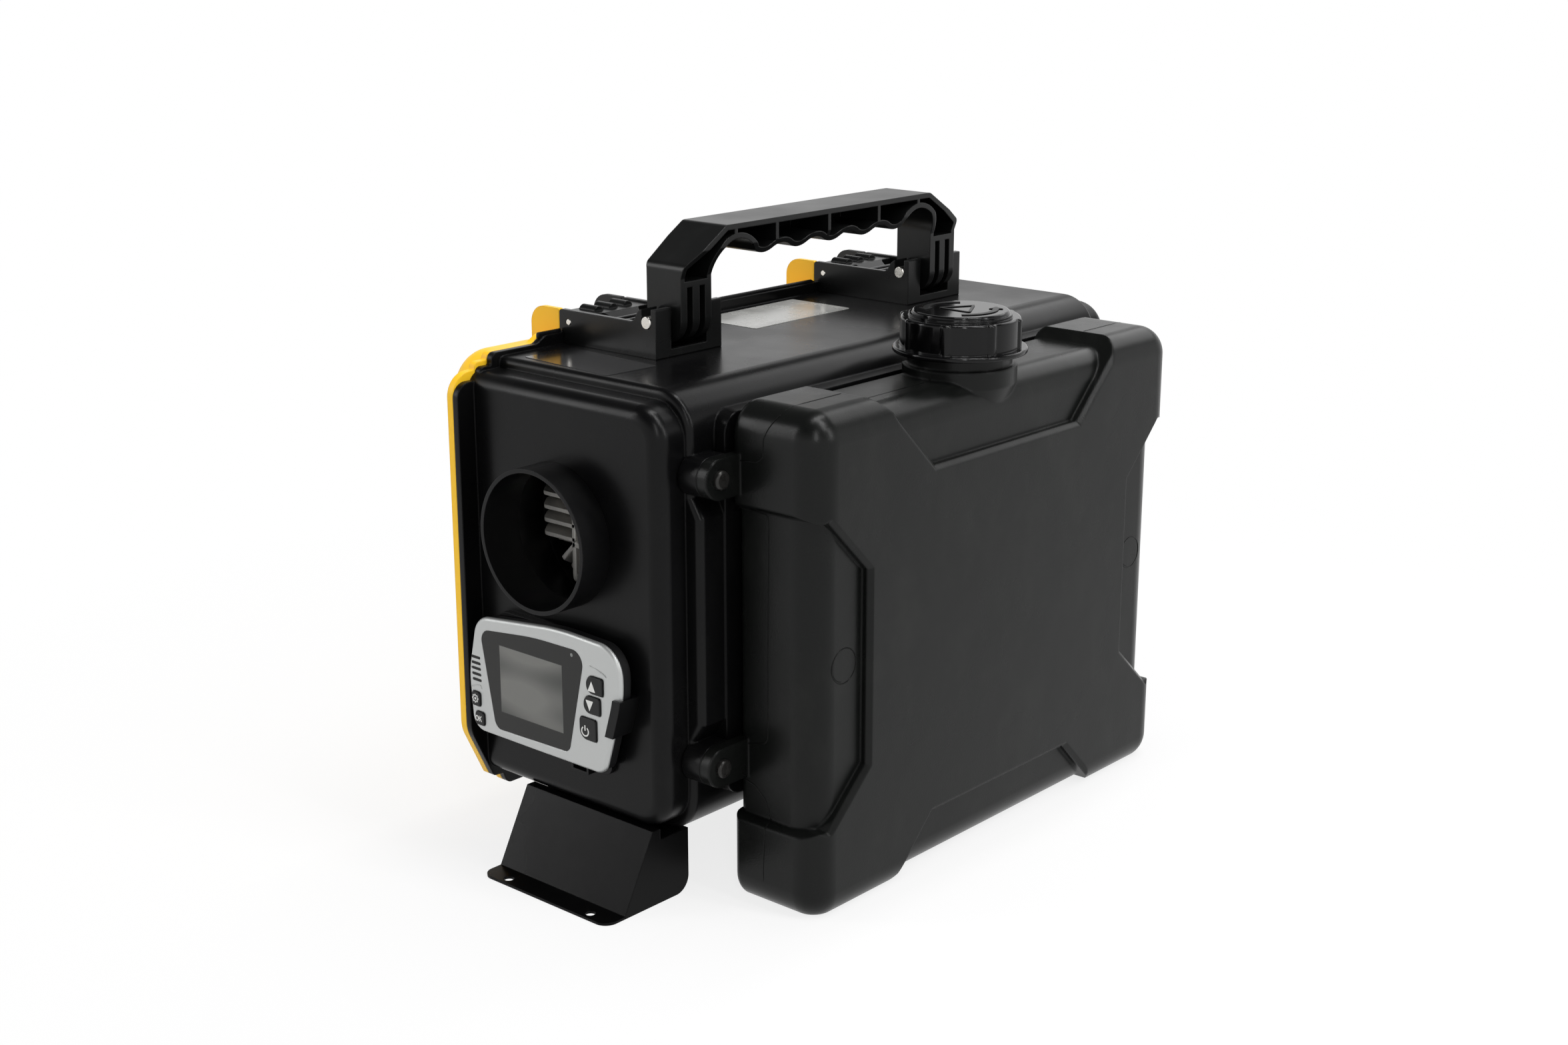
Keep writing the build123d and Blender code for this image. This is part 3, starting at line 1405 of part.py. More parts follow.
with BuildPart() as controller_bezel:
    with BuildSketch(Plane.XZ.offset(-bezel_y)):
        add(bezel_outline())
    extrude(amount=bezel_thick)
    fillet(controller_bezel.faces().sort_by(Axis.Y)[0].edges(), 2.2)
    # Seat for the lens, and the open window behind it
    with BuildSketch(Plane.XZ.offset(-front_y)):
        add(lens_outline(controller_gap))
    extrude(amount=-lens_thick, mode=Mode.SUBTRACT)
    with BuildSketch(Plane.XZ.offset(-front_y)):
        add(lens_outline(-2.0))
    extrude(amount=-bezel_thick, mode=Mode.SUBTRACT)
    # Button openings and sound slots
    with BuildSketch(Plane.XZ.offset(-front_y)):
        for shape in button_shapes.values():
            add(key_outline(shape, button_gap))
        for place, wide in ((-2, 5.0), (-1, 7.0), (0, 8.0), (1, 7.0), (2, 5.0)):
            with Locations((-90.9, 115.9 + 3.4 * place)):
                SlotOverall(wide, slot_high)
    extrude(amount=-bezel_thick, mode=Mode.SUBTRACT)
save(controller_bezel, "controller_bezel")

with BuildPart() as controller_lens:
    with BuildSketch(Plane.XZ.offset(-front_y)):
        add(lens_outline())
    extrude(amount=-lens_thick)
save(controller_lens, "controller_lens")

with BuildPart() as lcd_panel:
    with BuildSketch(Plane.XZ.offset(-lens_back_y)):
        with Locations((-43.7, 114.5)):
            Rectangle(54.4, 41.5)
    extrude(amount=-(bezel_y - lens_back_y))
save(lcd_panel, "lcd_panel")

with BuildPart() as controller_board:
    with BuildSketch(Plane.XZ.offset(-bezel_y)):
        add(bezel_outline(-3.8))
    extrude(amount=-board_thick)
save(controller_board, "controller_board")

for name, shape in button_shapes.items():
    with BuildPart() as button:
        with BuildSketch(Plane.XZ.offset(-front_y + button_rise)):
            add(key_outline(shape))
        extrude(amount=-(button_rise + bezel_thick - button_travel - 0.2))
        fillet(button.faces().sort_by(Axis.Y)[0].edges(), 0.5)
    save(button, name)
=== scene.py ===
import json
from math import cos, radians, sin

import bmesh
import bpy
import numpy as np
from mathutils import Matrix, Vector


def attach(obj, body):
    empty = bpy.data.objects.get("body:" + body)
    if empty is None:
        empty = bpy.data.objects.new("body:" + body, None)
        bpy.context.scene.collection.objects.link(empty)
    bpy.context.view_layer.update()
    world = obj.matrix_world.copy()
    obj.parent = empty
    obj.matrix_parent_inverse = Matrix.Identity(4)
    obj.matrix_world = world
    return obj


# Portable diesel air heater in a carry case. Metres, +Z up, +X towards the fuel tank,
# -Y towards the warm-air outlet.

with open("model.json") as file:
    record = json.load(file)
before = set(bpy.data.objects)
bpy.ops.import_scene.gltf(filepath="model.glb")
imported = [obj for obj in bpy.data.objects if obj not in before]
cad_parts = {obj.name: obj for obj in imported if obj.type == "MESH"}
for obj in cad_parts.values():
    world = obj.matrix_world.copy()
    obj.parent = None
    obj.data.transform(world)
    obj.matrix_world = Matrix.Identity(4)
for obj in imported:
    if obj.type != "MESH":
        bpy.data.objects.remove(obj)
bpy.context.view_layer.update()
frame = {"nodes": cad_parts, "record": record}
MM = 0.001


# ------------------------------------------------------------------ finishes

def start_finish(name):
    """Empty node material with its output, shader and Object coordinates."""
    finish = bpy.data.materials.new(name)
    finish.use_nodes = True
    tree = finish.node_tree
    tree.nodes.clear()
    out = tree.nodes.new("ShaderNodeOutputMaterial")
    shader = tree.nodes.new("ShaderNodeBsdfPrincipled")
    place = tree.nodes.new("ShaderNodeTexCoord")
    tree.links.new(shader.outputs["BSDF"], out.inputs["Surface"])
    return finish, tree, shader, place.outputs["Object"]


def noise(tree, where, scale, detail=2.0, rough=0.5, stretch=None):
    """Noise value from 0 to 1 at `scale` features a metre, stretched along the axes if asked."""
    if stretch is not None:
        mapping = tree.nodes.new("ShaderNodeMapping")
        mapping.inputs["Scale"].default_value = stretch
        tree.links.new(where, mapping.inputs["Vector"])
        where = mapping.outputs["Vector"]
    node = tree.nodes.new("ShaderNodeTexNoise")
    node.inputs["Scale"].default_value = scale
    node.inputs["Detail"].default_value = detail
    node.inputs["Roughness"].default_value = rough
    tree.links.new(where, node.inputs["Vector"])
    return node.outputs["Fac"]


def span(tree, value, low, high, to_low, to_high):
    """Carries `value` from low..high to to_low..to_high, held at both ends."""
    node = tree.nodes.new("ShaderNodeMapRange")
    ends = {"From Min": low, "From Max": high, "To Min": to_low, "To Max": to_high}
    for socket, number in ends.items():
        node.inputs[socket].default_value = number
    tree.links.new(value, node.inputs["Value"])
    return node.outputs["Result"]


def feed(tree, socket, value):
    """Joins `socket` to another socket, or sets it to a plain value."""
    if isinstance(value, bpy.types.NodeSocket):
        tree.links.new(value, socket)
    else:
        socket.default_value = value


def maths(tree, operation, *values):
    """Result of one math node. Each value is a socket or a number."""
    node = tree.nodes.new("ShaderNodeMath")
    node.operation = operation
    for socket, value in zip(node.inputs, values):
        feed(tree, socket, value)
    return node.outputs["Value"]


def blend_colour(tree, share, first, second):
    """Colour that goes from `first` to `second`, sockets or RGBA, as `share` goes from 0 to 1."""
    node = tree.nodes.new("ShaderNodeMix")
    node.data_type = "RGBA"
    feed(tree, node.inputs["A"], first)
    feed(tree, node.inputs["B"], second)
    tree.links.new(share, node.inputs["Factor"])
    return node.outputs["Result"]


def near(tree, value, middle, half):
    """1 where `value` is within `half` of `middle`, else 0."""
    return maths(tree, "COMPARE", value, middle, half)


def relief(tree, shader, height, depth, edge=0.0):
    """Bump of `depth` metres from `height`, over edges rounded by `edge` metres."""
    bump = tree.nodes.new("ShaderNodeBump")
    bump.inputs["Strength"].default_value = 1.0
    bump.inputs["Distance"].default_value = depth
    tree.links.new(height, bump.inputs["Height"])
    if edge:
        rounding = tree.nodes.new("ShaderNodeBevel")
        rounding.samples = 4
        rounding.inputs["Radius"].default_value = edge
        tree.links.new(rounding.outputs["Normal"], bump.inputs["Normal"])
    tree.links.new(bump.outputs["Normal"], shader.inputs["Normal"])


def moulded(
    name, colour, worn, rough, grain=1500, grain_depth=0.00002, edge=0.0006, shine=0.3, wave=0.0
):
    """Moulded plastic: grain, cloudy sheen, faint rubbed patches of `worn` colour, broad waves if asked.

    `rough` and `shine` are the shader's. `grain` counts features a metre, and `grain_depth`, `edge` and
    `wave` are in metres.
    """
    finish, tree, shader, where = start_finish(name)
    clouds = noise(tree, where, 9, 4, 0.6)
    rubbed = span(tree, noise(tree, where, 28, 6, 0.65, (1, 1, 0.6)), 0.52, 0.78, 0.0, 1.0)
    tone_and_painted_reflection = blend_colour(tree, rubbed, (*colour, 1), (*worn, 1))
    tree.links.new(tone_and_painted_reflection, shader.inputs["Base Color"])
    tree.links.new(span(tree, clouds, 0.3, 0.7, rough - 0.05, rough + 0.07), shader.inputs["Roughness"])
    shader.inputs["Specular IOR Level"].default_value = shine
    fine = noise(tree, where, grain, 2, 0.5)
    if wave:
        broad = noise(tree, where, 34, 2, 0.4)
        fine = maths(tree, "MULTIPLY_ADD", broad, wave / grain_depth, fine)
    relief(tree, shader, fine, grain_depth, edge)
    return finish


def metal(
    name, colour, second, rough, stretch=(1, 1, 1), scale=400, depth=0.00002, edge=0.0003, metallic=1.0
):
    """Metal with brushed or cast variation: colour and sheen follow a stretched noise."""
    finish, tree, shader, where = start_finish(name)
    marks = noise(tree, where, scale, 4, 0.6, stretch)
    tone_and_painted_reflection = blend_colour(tree, marks, (*colour, 1), (*second, 1))
    tree.links.new(tone_and_painted_reflection, shader.inputs["Base Color"])
    tree.links.new(span(tree, marks, 0.3, 0.7, rough - 0.06, rough + 0.08), shader.inputs["Roughness"])
    shader.inputs["Metallic"].default_value = metallic
    relief(tree, shader, marks, depth, edge)
    return finish


CATCH_MIDDLES = (-0.0915, 0.1445)   # far cheek of each latch catch, along the case
CATCH_HALF = 0.004
CATCH_BASE = 0.3044                 # the catches stand above this height
CATCH_BLACK = (0.004, 0.004, 0.004, 1)


def lid_paint(name):
    """Yellow moulded plastic. The cheek of each latch catch that faces away is coloured black."""
    finish = moulded(name, (0.92, 0.54, 0.018), (0.88, 0.49, 0.02), 0.36, edge=0.0010)
    tree = finish.node_tree
    shader = next(node for node in tree.nodes if node.type == "BSDF_PRINCIPLED")
    place = next(node for node in tree.nodes if node.type == "TEX_COORD")
    yellow = shader.inputs["Base Color"].links[0].from_socket
    split = tree.nodes.new("ShaderNodeSeparateXYZ")
    tree.links.new(place.outputs["Object"], split.inputs["Vector"])
    first, second = (near(tree, split.outputs["Y"], middle, CATCH_HALF) for middle in CATCH_MIDDLES)
    cheek = maths(tree, "MAXIMUM", first, second)
    high = maths(tree, "GREATER_THAN", split.outputs["Z"], CATCH_BASE)
    painted = blend_colour(tree, maths(tree, "MULTIPLY", cheek, high), yellow, CATCH_BLACK)
    tree.links.new(painted, shader.inputs["Base Color"])
    return finish


DISPLAY_X = (-0.0429, 0.0263)       # display's middle and half size, across
DISPLAY_Z = (0.1147, 0.02045)       # and upwards
DISPLAY_LINE = 0.0003               # width of the line round it


def keypad_window(name):
    """Dark polished window, its grey display area with a painted reflection, framed by a thin pale line."""
    finish, tree, shader, where = start_finish(name)
    split = tree.nodes.new("ShaderNodeSeparateXYZ")
    tree.links.new(where, split.inputs["Vector"])

    def inside(grow):
        """1 where the point is within the display's rectangle grown by `grow` metres."""
        across = near(tree, split.outputs["X"], DISPLAY_X[0], DISPLAY_X[1] + grow)
        upward = near(tree, split.outputs["Z"], DISPLAY_Z[0], DISPLAY_Z[1] + grow)
        return maths(tree, "MULTIPLY", across, upward)

    # Painted reflection: the display's grey turns lighter in broad soft streaks that follow a stretched
    # noise.
    tone_and_painted_reflection = span(tree, noise(tree, where, 21, 0, 0.5, (0.7, 1, 2.4)), 0.33, 0.62, 0, 1)
    glow = blend_colour(tree, tone_and_painted_reflection, (0.060, 0.062, 0.058, 1), (0.165, 0.165, 0.155, 1))
    line, glass = (0.03, 0.03, 0.028, 1), (0.010, 0.010, 0.009, 1)
    framed = blend_colour(tree, inside(DISPLAY_LINE), glass, line)
    shown = blend_colour(tree, inside(0.0), framed, glow)
    tree.links.new(shown, shader.inputs["Base Color"])
    smear = noise(tree, where, 130, 5, 0.7)
    tree.links.new(span(tree, smear, 0.45, 0.75, 0.06, 0.16), shader.inputs["Roughness"])
    shader.inputs["Specular IOR Level"].default_value = 0.28
    relief(tree, shader, smear, 0.000003, 0.0002)
    return finish


finishes = {
    "case_black": moulded(
        "case_black", (0.0022, 0.0022, 0.0024), (0.0045, 0.0045, 0.0045), 0.28,
        grain=1300, grain_depth=0.000012, edge=0.0014, shine=0.15,
    ),
    "tank_black": moulded(
        "tank_black", (0.0036, 0.0040, 0.0037), (0.0075, 0.0080, 0.0072), 0.27,
        grain=1100, grain_depth=0.00004, edge=0.0020, shine=0.19, wave=0.00025,
    ),
    "handle_black": moulded(
        "handle_black", (0.0040, 0.0042, 0.0042), (0.0085, 0.0088, 0.0087), 0.28,
        grain=1600, grain_depth=0.00001, edge=0.0009, shine=0.24,
    ),
    "cap_black": moulded(
        "cap_black", (0.0018, 0.0018, 0.0020), (0.0035, 0.0035, 0.0035), 0.08,
        grain=700, grain_depth=0.000002, edge=0.0009, shine=0.24,
    ),
    "cap_relief": moulded(
        "cap_relief", (0.0020, 0.0020, 0.0022), (0.004, 0.004, 0.004), 0.30,
        grain=1400, grain_depth=0.000008, edge=0.0, shine=0.12,
    ),
    "lid_yellow": lid_paint("lid_yellow"),
    "seal_rubber": moulded("seal_rubber", (0.008, 0.008, 0.008), (0.014, 0.014, 0.014), 0.7, shine=0.2),
    "foot_steel": moulded(
        "foot_steel", (0.0016, 0.0016, 0.0017), (0.0035, 0.0035, 0.0035), 0.30,
        grain=2600, grain_depth=0.00003, edge=0.0008, shine=0.09,
    ),
    "collar_black": moulded(
        "collar_black", (0.0032, 0.0032, 0.0035), (0.007, 0.007, 0.007), 0.34,
        grain=1600, grain_depth=0.00001, edge=0.0006, shine=0.16,
    ),
    "box_plastic": moulded("box_plastic", (0.008, 0.008, 0.0085), (0.014, 0.014, 0.014), 0.42, shine=0.2),
    "fan_plastic": moulded("fan_plastic", (0.02, 0.02, 0.02), (0.03, 0.03, 0.03), 0.5),
    "button_rubber": moulded(
        "button_rubber", (0.005, 0.005, 0.0055), (0.010, 0.010, 0.010), 0.34,
        grain=2400, grain_depth=0.00001, edge=0.0005, shine=0.25,
    ),
    "hose_rubber": moulded("hose_rubber", (0.012, 0.012, 0.012), (0.02, 0.02, 0.02), 0.5),
    "filter_clear": moulded("filter_clear", (0.62, 0.62, 0.56), (0.5, 0.5, 0.44), 0.3),
    "board_green": moulded("board_green", (0.02, 0.12, 0.05), (0.03, 0.15, 0.06), 0.35),
    "lcd_grey": moulded("lcd_grey", (0.2, 0.21, 0.2), (0.25, 0.26, 0.25), 0.2),
    "motor_metal": metal("motor_metal", (0.10, 0.10, 0.10), (0.16, 0.16, 0.16), 0.4, metallic=0.6),
    "pin_nickel": metal("pin_nickel", (0.62, 0.60, 0.56), (0.74, 0.72, 0.68), 0.26, stretch=(1, 0.2, 1)),
    "screw_black": metal(
        "screw_black", (0.012, 0.0115, 0.011), (0.030, 0.029, 0.027), 0.30, metallic=0.6
    ),
    "cast_alloy": metal(
        "cast_alloy", (0.56, 0.55, 0.52), (0.78, 0.76, 0.72), 0.55,
        scale=700, depth=0.00010, metallic=0.35,
    ),
    "steel": metal("steel", (0.42, 0.41, 0.39), (0.52, 0.51, 0.49), 0.32, stretch=(1, 1, 0.15)),
    "brass_fitting": metal("brass_fitting", (0.62, 0.44, 0.18), (0.72, 0.53, 0.25), 0.3),
    "bezel_silver": metal(
        "bezel_silver", (0.42, 0.43, 0.425), (0.50, 0.51, 0.505), 0.34,
        scale=2600, depth=0.000008, edge=0.0011, metallic=0.6,
    ),
    "lens_dark": keypad_window("lens_dark"),
    "icon_white": moulded(
        "icon_white", (0.72, 0.72, 0.70), (0.66, 0.66, 0.64), 0.45,
        grain=900, grain_depth=0.000002, edge=0.0,
    ),
    "plate_dark": moulded(
        "plate_dark", (0.006, 0.006, 0.0065), (0.009, 0.009, 0.009), 0.16,
        grain=60, grain_depth=0.000010, edge=0.0, shine=0.5,
    ),
    "plate_grey": metal(
        "plate_grey", (0.46, 0.46, 0.44), (0.54, 0.54, 0.52), 0.24,
        scale=60, depth=0.000010, edge=0.0, metallic=0.35,
    ),
}

slot_of = {part["node"]: part["material_slot"] for part in frame["record"]["subparts"]}
for node, obj in frame["nodes"].items():
    obj.data.materials.clear()
    obj.data.materials.append(finishes[slot_of[node]])


# ------------------------------------------------------------------ added pieces

SAME_POINT = 1e-7                   # points closer than this are merged

def add_piece(name, rings, body, finish, closed=True):
    """Flat-shaded mesh from a grid of points: quads join each ring of the grid to the next one.

    `rings` is an array of rings by points by 3 in metres, or several of them stacked. Every ring is a
    loop. The first and last ring are one point each, so the surface is closed. Where `closed` is
    False there are no such ends, and the last ring joins the first. The piece moves with `body`.
    """
    shells, count, around = rings.reshape((-1, *rings.shape[-3:])).shape[:3]
    index = np.arange(shells * count * around).reshape(shells, count, around)
    here, there = (index[:, :-1], index[:, 1:]) if closed else (index, np.roll(index, -1, axis=1))
    quads = np.stack([here, np.roll(here, -1, axis=2), np.roll(there, -1, axis=2), there], axis=-1)
    mesh = bpy.data.meshes.new(name)
    mesh.from_pydata(rings.reshape(-1, 3).tolist(), [], quads.reshape(-1, 4).tolist())
    shell = bmesh.new()
    shell.from_mesh(mesh)
    bmesh.ops.remove_doubles(shell, verts=shell.verts, dist=SAME_POINT)
    bmesh.ops.recalc_face_normals(shell, faces=shell.faces)
    shell.to_mesh(mesh)
    shell.free()
    mesh.materials.append(finishes[finish])
    piece = bpy.data.objects.new(name, mesh)
    bpy.context.scene.collection.objects.link(piece)
    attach(piece, body)


def carry(path, out, half, lift, sink=0.3, sides=8, closed=False):
    """Rounded bead carried along a path: an ellipse `half` wide each way and `lift` high.

    At each point of the path the ellipse stands across the path, with its high axis along `out`,
    and its middle lies `sink` times `lift` under the path. The ends shrink to a point.
    """
    if closed:
        run = np.roll(path, -1, axis=0) - np.roll(path, 1, axis=0)
    else:
        run = np.gradient(path, axis=0)
    run /= np.linalg.norm(run, axis=1, keepdims=True)
    out = np.broadcast_to(out, path.shape)
    out = out - run * (out * run).sum(axis=1, keepdims=True)
    out = out / np.linalg.norm(out, axis=1, keepdims=True)
    across = np.cross(run, out)
    turn = np.linspace(0, 2 * np.pi, sides, endpoint=False)
    size = np.ones(len(path))
    if not closed:
        size[0] = size[-1] = 0.0
    ring = (
        across[:, None, :] * (half * size[:, None] * np.cos(turn))[:, :, None]
        + out[:, None, :] * (lift * size[:, None] * (np.sin(turn) - sink))[:, :, None]
    )
    return path[:, None, :] + ring


def smooth_path(corners, count, soft=3):
    """Path through `corners` at even steps, its corners eased by `soft` passes of averaging."""
    corners = np.array(corners, float)
    reach = np.concatenate([[0], np.cumsum(np.linalg.norm(np.diff(corners, axis=0), axis=1))])
    steps = np.linspace(0, reach[-1], count)
    path = np.stack([np.interp(steps, reach, corners[:, k]) for k in range(corners.shape[1])], axis=1)
    for _ in range(soft):
        path[1:-1] = (path[:-2] + 2 * path[1:-1] + path[2:]) / 4
    return path


def raised_plate(outline, height, ease, origin, right, up):
    """Thin plate on a flat face: `outline` is a loop of (u, v) points round the plate's middle.

    Rings go from the middle of the back out to the outline, up its edge, in over an eased corner of
    size `ease`, and to the middle of the front. u runs along `right`, v along `up`, both in metres.
    """
    right, up = np.array(right, float), np.array(up, float)
    front = np.cross(right, up)
    outline = np.array(outline, float)
    reach = np.linalg.norm(outline, axis=1, keepdims=True)
    inner = outline * (1 - ease / reach)
    levels = [
        (outline * 0, 0.0), (outline * 0.5, 0.0), (outline, 0.0), (outline, height - ease),
        (outline * (1 - 0.3 * ease / reach), height - 0.3 * ease), (inner, height),
        (inner * 0.5, height), (inner * 0, height),
    ]
    return np.stack([
        np.array(origin) + flat[:, :1] * right + flat[:, 1:] * up + front * level for flat, level in levels
    ])


def stroke(path, half, height, origin, right, up, closed=False):
    """Flat printed or moulded line: a rectangle 2 `half` wide and `height` high along a 2-D path."""
    right, up = np.array(right, float), np.array(up, float)
    front = np.cross(right, up)
    path = np.array(path, float)
    run = np.roll(path, -1, axis=0) - np.roll(path, 1, axis=0) if closed else np.gradient(path, axis=0)
    run /= np.linalg.norm(run, axis=1, keepdims=True)
    side = np.stack([-run[:, 1], run[:, 0]], axis=1) * half
    corners = [(side, 0.0), (side, height), (-side, height), (-side, 0.0)]
    ring = np.stack([
        np.array(origin) + (path + off)[:, :1] * right + (path + off)[:, 1:] * up + front * level
        for off, level in corners
    ], axis=1)
    if closed:
        return ring
    first, last = (
        np.broadcast_to(end.mean(axis=1, keepdims=True), end.shape) for end in (ring[:1], ring[-1:])
    )
    return np.concatenate([first, ring, last])


def rounded(wide, high, corner, turn=0.0, count=12):
    """Rectangle with round corners as a loop of points round its middle, turned by `turn` degrees."""
    arc = np.linspace(0, np.pi / 2, count)
    loops = []
    for quarter, (sx, sy) in enumerate(((1, 1), (-1, 1), (-1, -1), (1, -1))):
        angle = arc + quarter * np.pi / 2
        middle = np.array((sx * (wide / 2 - corner), sy * (high / 2 - corner)))
        loops.append(middle + corner * np.stack([np.cos(angle), np.sin(angle)], axis=1))
    loop = np.concatenate(loops)
    c, s = cos(radians(turn)), sin(radians(turn))
    return loop @ np.array([[c, s], [-s, c]])


def bow(middle, radius, start, end, count=32):
    """Arc of a circle from `start` to `end` degrees."""
    turn = np.radians(np.linspace(start, end, count))
    return np.array(middle) + radius * np.stack([np.cos(turn), np.sin(turn)], axis=1)


RIGHT, UP, AWAY = (1, 0, 0), (0, 0, 1), (0, 1, 0)

# Tank, in mm: its end face stands out above and below a recess, and is rounded at top and bottom.
TANK_OUT = 175.0                    # from the middle of the tank to its end face
TANK_IN = 169.5                     # and to the recess
RECESS_STEPS = [48.6, 52.0, 230.4, 233.8]
ROUND = 18.0
ROUND_FROM = 272.5                  # height at which the top round starts
SEAM = 0.00042                      # half width and rise of a parting bead, in metres


def tank_side(height):
    """How far the tank's end stands from the middle at each height: raised above and below, recessed
    between, with a round at the top corner and the bottom one, all in mm."""
    flat = np.interp(height, RECESS_STEPS, [TANK_OUT, TANK_IN, TANK_IN, TANK_OUT])
    above = np.clip(height - ROUND_FROM, 0, ROUND)
    below = np.clip(ROUND - height, 0, ROUND)
    return flat - (ROUND - np.sqrt(ROUND**2 - above**2)) - (ROUND - np.sqrt(ROUND**2 - below**2))


def tank_bead(name, rings, closed=True):
    """A bead in the tank's own plastic."""
    add_piece(name, rings, "heater", "tank_black", closed)


def end_seam(name, corners, side, count):
    """Parting bead on the tank's end: a path of (x, z) in mm laid on the end face."""
    flat = smooth_path(corners, count)
    path = np.stack([flat[:, 0], side * tank_side(flat[:, 1]), flat[:, 1]], axis=1) * MM
    lean = np.where(flat[:, 1] > ROUND_FROM, 0.7, 0.0)
    out = np.stack([flat[:, 0] * 0, np.full(count, side), lean], axis=1)
    tank_bead(name, carry(path, out, SEAM, SEAM))


END_SEAMS = (
    ("top", 90, [(66.0, 259.0), (83.0, 260.0), (88.0, 263.5), (88.3, 273.5), (90.8, 280.0), (94.5, 287.0)]),
    ("middle", 150, [(66.0, 231.4), (76.0, 230.6), (86.5, 230.2), (87.4, 226.0), (86.4, 150.0),
                     (86.3, 100.0), (84.8, 96.8), (66.0, 92.0)]),
    ("foot", 110, [(66.0, 71.5), (76.0, 69.5), (84.0, 63.0), (87.3, 57.0), (88.8, 50.0), (88.3, 40.0),
                   (87.5, 24.0), (87.5, 12.0), (87.5, 4.0)]),
)
SHOULDER = [(94.5, 165.5, 288.4), (95.6, 160.0, 290.2), (95.6, 150.0, 290.5), (95.4, 118.5, 290.5)]
TANK_FACE = 0.1202                  # the tank's broad face
MARK = (0.1445, 0.1446)             # middle of each round moulding mark: along the tank and up
MARK_RADIUS, MARK_POINTS = 0.0102, 72
MARK_EDGE_RADIUS, MARK_EDGE_POINTS = 0.0094, 40
MARK_EDGE_SHIFT = 0.0004

for label, side in (("near", -1.0), ("far", 1.0)):
    for place, count, corners in END_SEAMS:
        end_seam(f"tank_seam_{place}_{label}", corners, side, count)
    ridge = smooth_path(SHOULDER, 60)
    ridge[:, 1] *= side
    tank_bead(f"tank_seam_shoulder_{label}", carry(ridge * MM, UP, SEAM, 0.00036))
    mark = bow((side * MARK[0], MARK[1]), MARK_RADIUS, 0, 360, MARK_POINTS + 1)[:-1]
    ring = np.stack([np.full(MARK_POINTS, TANK_FACE), mark[:, 0], mark[:, 1]], axis=1)
    tank_bead(f"tank_mark_{label}", carry(ring, RIGHT, 0.00045, 0.00032, closed=True), closed=False)
    inner = bow(
        (side * MARK[0] - MARK_EDGE_SHIFT, MARK[1] + MARK_EDGE_SHIFT), MARK_EDGE_RADIUS, 100, 260,
        MARK_EDGE_POINTS,
    )
    ring = np.stack([np.full(MARK_EDGE_POINTS, TANK_FACE), inner[:, 0], inner[:, 1]], axis=1)
    tank_bead(f"tank_mark_edge_{label}", carry(ring, RIGHT, 0.0003, 0.00022))

ledge = smooth_path([(95.4, -110.0, 284.0), (95.0, -80.0, 284.0), (94.6, -42.0, 284.0)], 50)
tank_bead("tank_seam_ledge", carry(ledge * MM, UP, 0.0004, 0.0003))
neck_line = smooth_path([(94.0, -37.3, 278.5), (94.0, -37.2, 284.0), (94.0, -37.1, 288.8)], 24)
tank_bead("neck_seam", carry(neck_line * MM, (0, -1, 0), 0.0005, 0.0005))

# Bare plates on the case's top: a dark one by the near latch and a pale one between the latches.
TOP_FACE = 0.2968
PLATE, PLATE_EASE, PLATE_CORNER = 0.0003, 0.0001, 0.0015
for name, finish, wide, long, turned, x, y in (
    ("top_plate_dark", "plate_dark", 0.073, 0.037, -3.5, -0.0480, -0.1715),
    ("top_plate_pale", "plate_grey", 0.049, 0.092, 0.6, -0.0675, 0.0100),
):
    outline = rounded(wide, long, PLATE_CORNER, turned)
    plate = raised_plate(outline, PLATE, PLATE_EASE, (x, y, TOP_FACE), RIGHT, AWAY)
    add_piece(name, plate, "heater", finish)

# Keys' symbols, printed on their fronts.
KEY_FRONT = -0.2304
INK = 0.00008                       # height of the print
LINE, FINE_LINE = 0.00042, 0.0003   # half width of a symbol's lines
POWER_AT, MENU_AT, OK_AT, OK_BARS_AT = (2.6, 100.8), (-91.2, 97.3), (-90.3, 85.2), (-88.4, 85.2)


def symbol_at(x, z):
    """Middle of a symbol on the keys' front plane, in metres from mm."""
    return (x * MM, KEY_FRONT, z * MM)


def printed(name, rings, body, closed=True):
    """A white printed line or patch that moves with its key."""
    add_piece(name, rings, body, "icon_white", closed)


def patch(outline, place):
    """Printed patch at `place` on the keys' front."""
    return raised_plate(outline, INK, INK / 3, symbol_at(*place), RIGHT, UP)


def line(path, half, place, closed=False):
    """Printed line at `place` on the keys' front."""
    return stroke(path, half, INK, symbol_at(*place), RIGHT, UP, closed)


pointer = smooth_path([(0.0, 3.2), (-3.0, -3.0), (3.0, -3.0), (0.0, 3.2)], 61, 1)[:-1] * MM
printed("symbol_up", patch(pointer, (8.6, 128.9)), "key_up")
printed("symbol_down", patch(pointer[::-1] * (1, -1), (6.7, 117.2)), "key_down")
printed("symbol_power_ring", line(bow((0, 0), 0.0027, 125, 415), LINE, POWER_AT), "key_power")
power_bar = smooth_path([(0.0, 0.4), (0.0, 3.6)], 8, 0) * MM
printed("symbol_power_bar", line(power_bar, LINE, POWER_AT), "key_power")
WHEEL_POINTS, WHEEL_TEETH = 96, 8
wheel_turn = np.radians(np.arange(WHEEL_POINTS) * 360 / WHEEL_POINTS)
wheel = 0.00215 + 0.00033 * np.sign(np.cos(wheel_turn * WHEEL_TEETH))
cog = np.stack([wheel * np.cos(wheel_turn), wheel * np.sin(wheel_turn)], axis=1)
printed("symbol_menu_wheel", line(cog, FINE_LINE, MENU_AT, True), "key_menu", False)
printed("symbol_menu_hub", patch(bow((0, 0), 0.0008, 0, 360, 25)[:-1], MENU_AT), "key_menu")
oval = bow((0, 0), 1.0, 0, 360, 49)[:-1] * (0.00105, 0.0015)
printed("symbol_ok_ring", line(oval, FINE_LINE, OK_AT, True), "key_ok", False)
OK_BARS = ([(0, -1.75), (0, 1.75)], [(0.2, 0.0), (2.0, 1.75)], [(0.7, 0.4), (2.0, -1.75)])
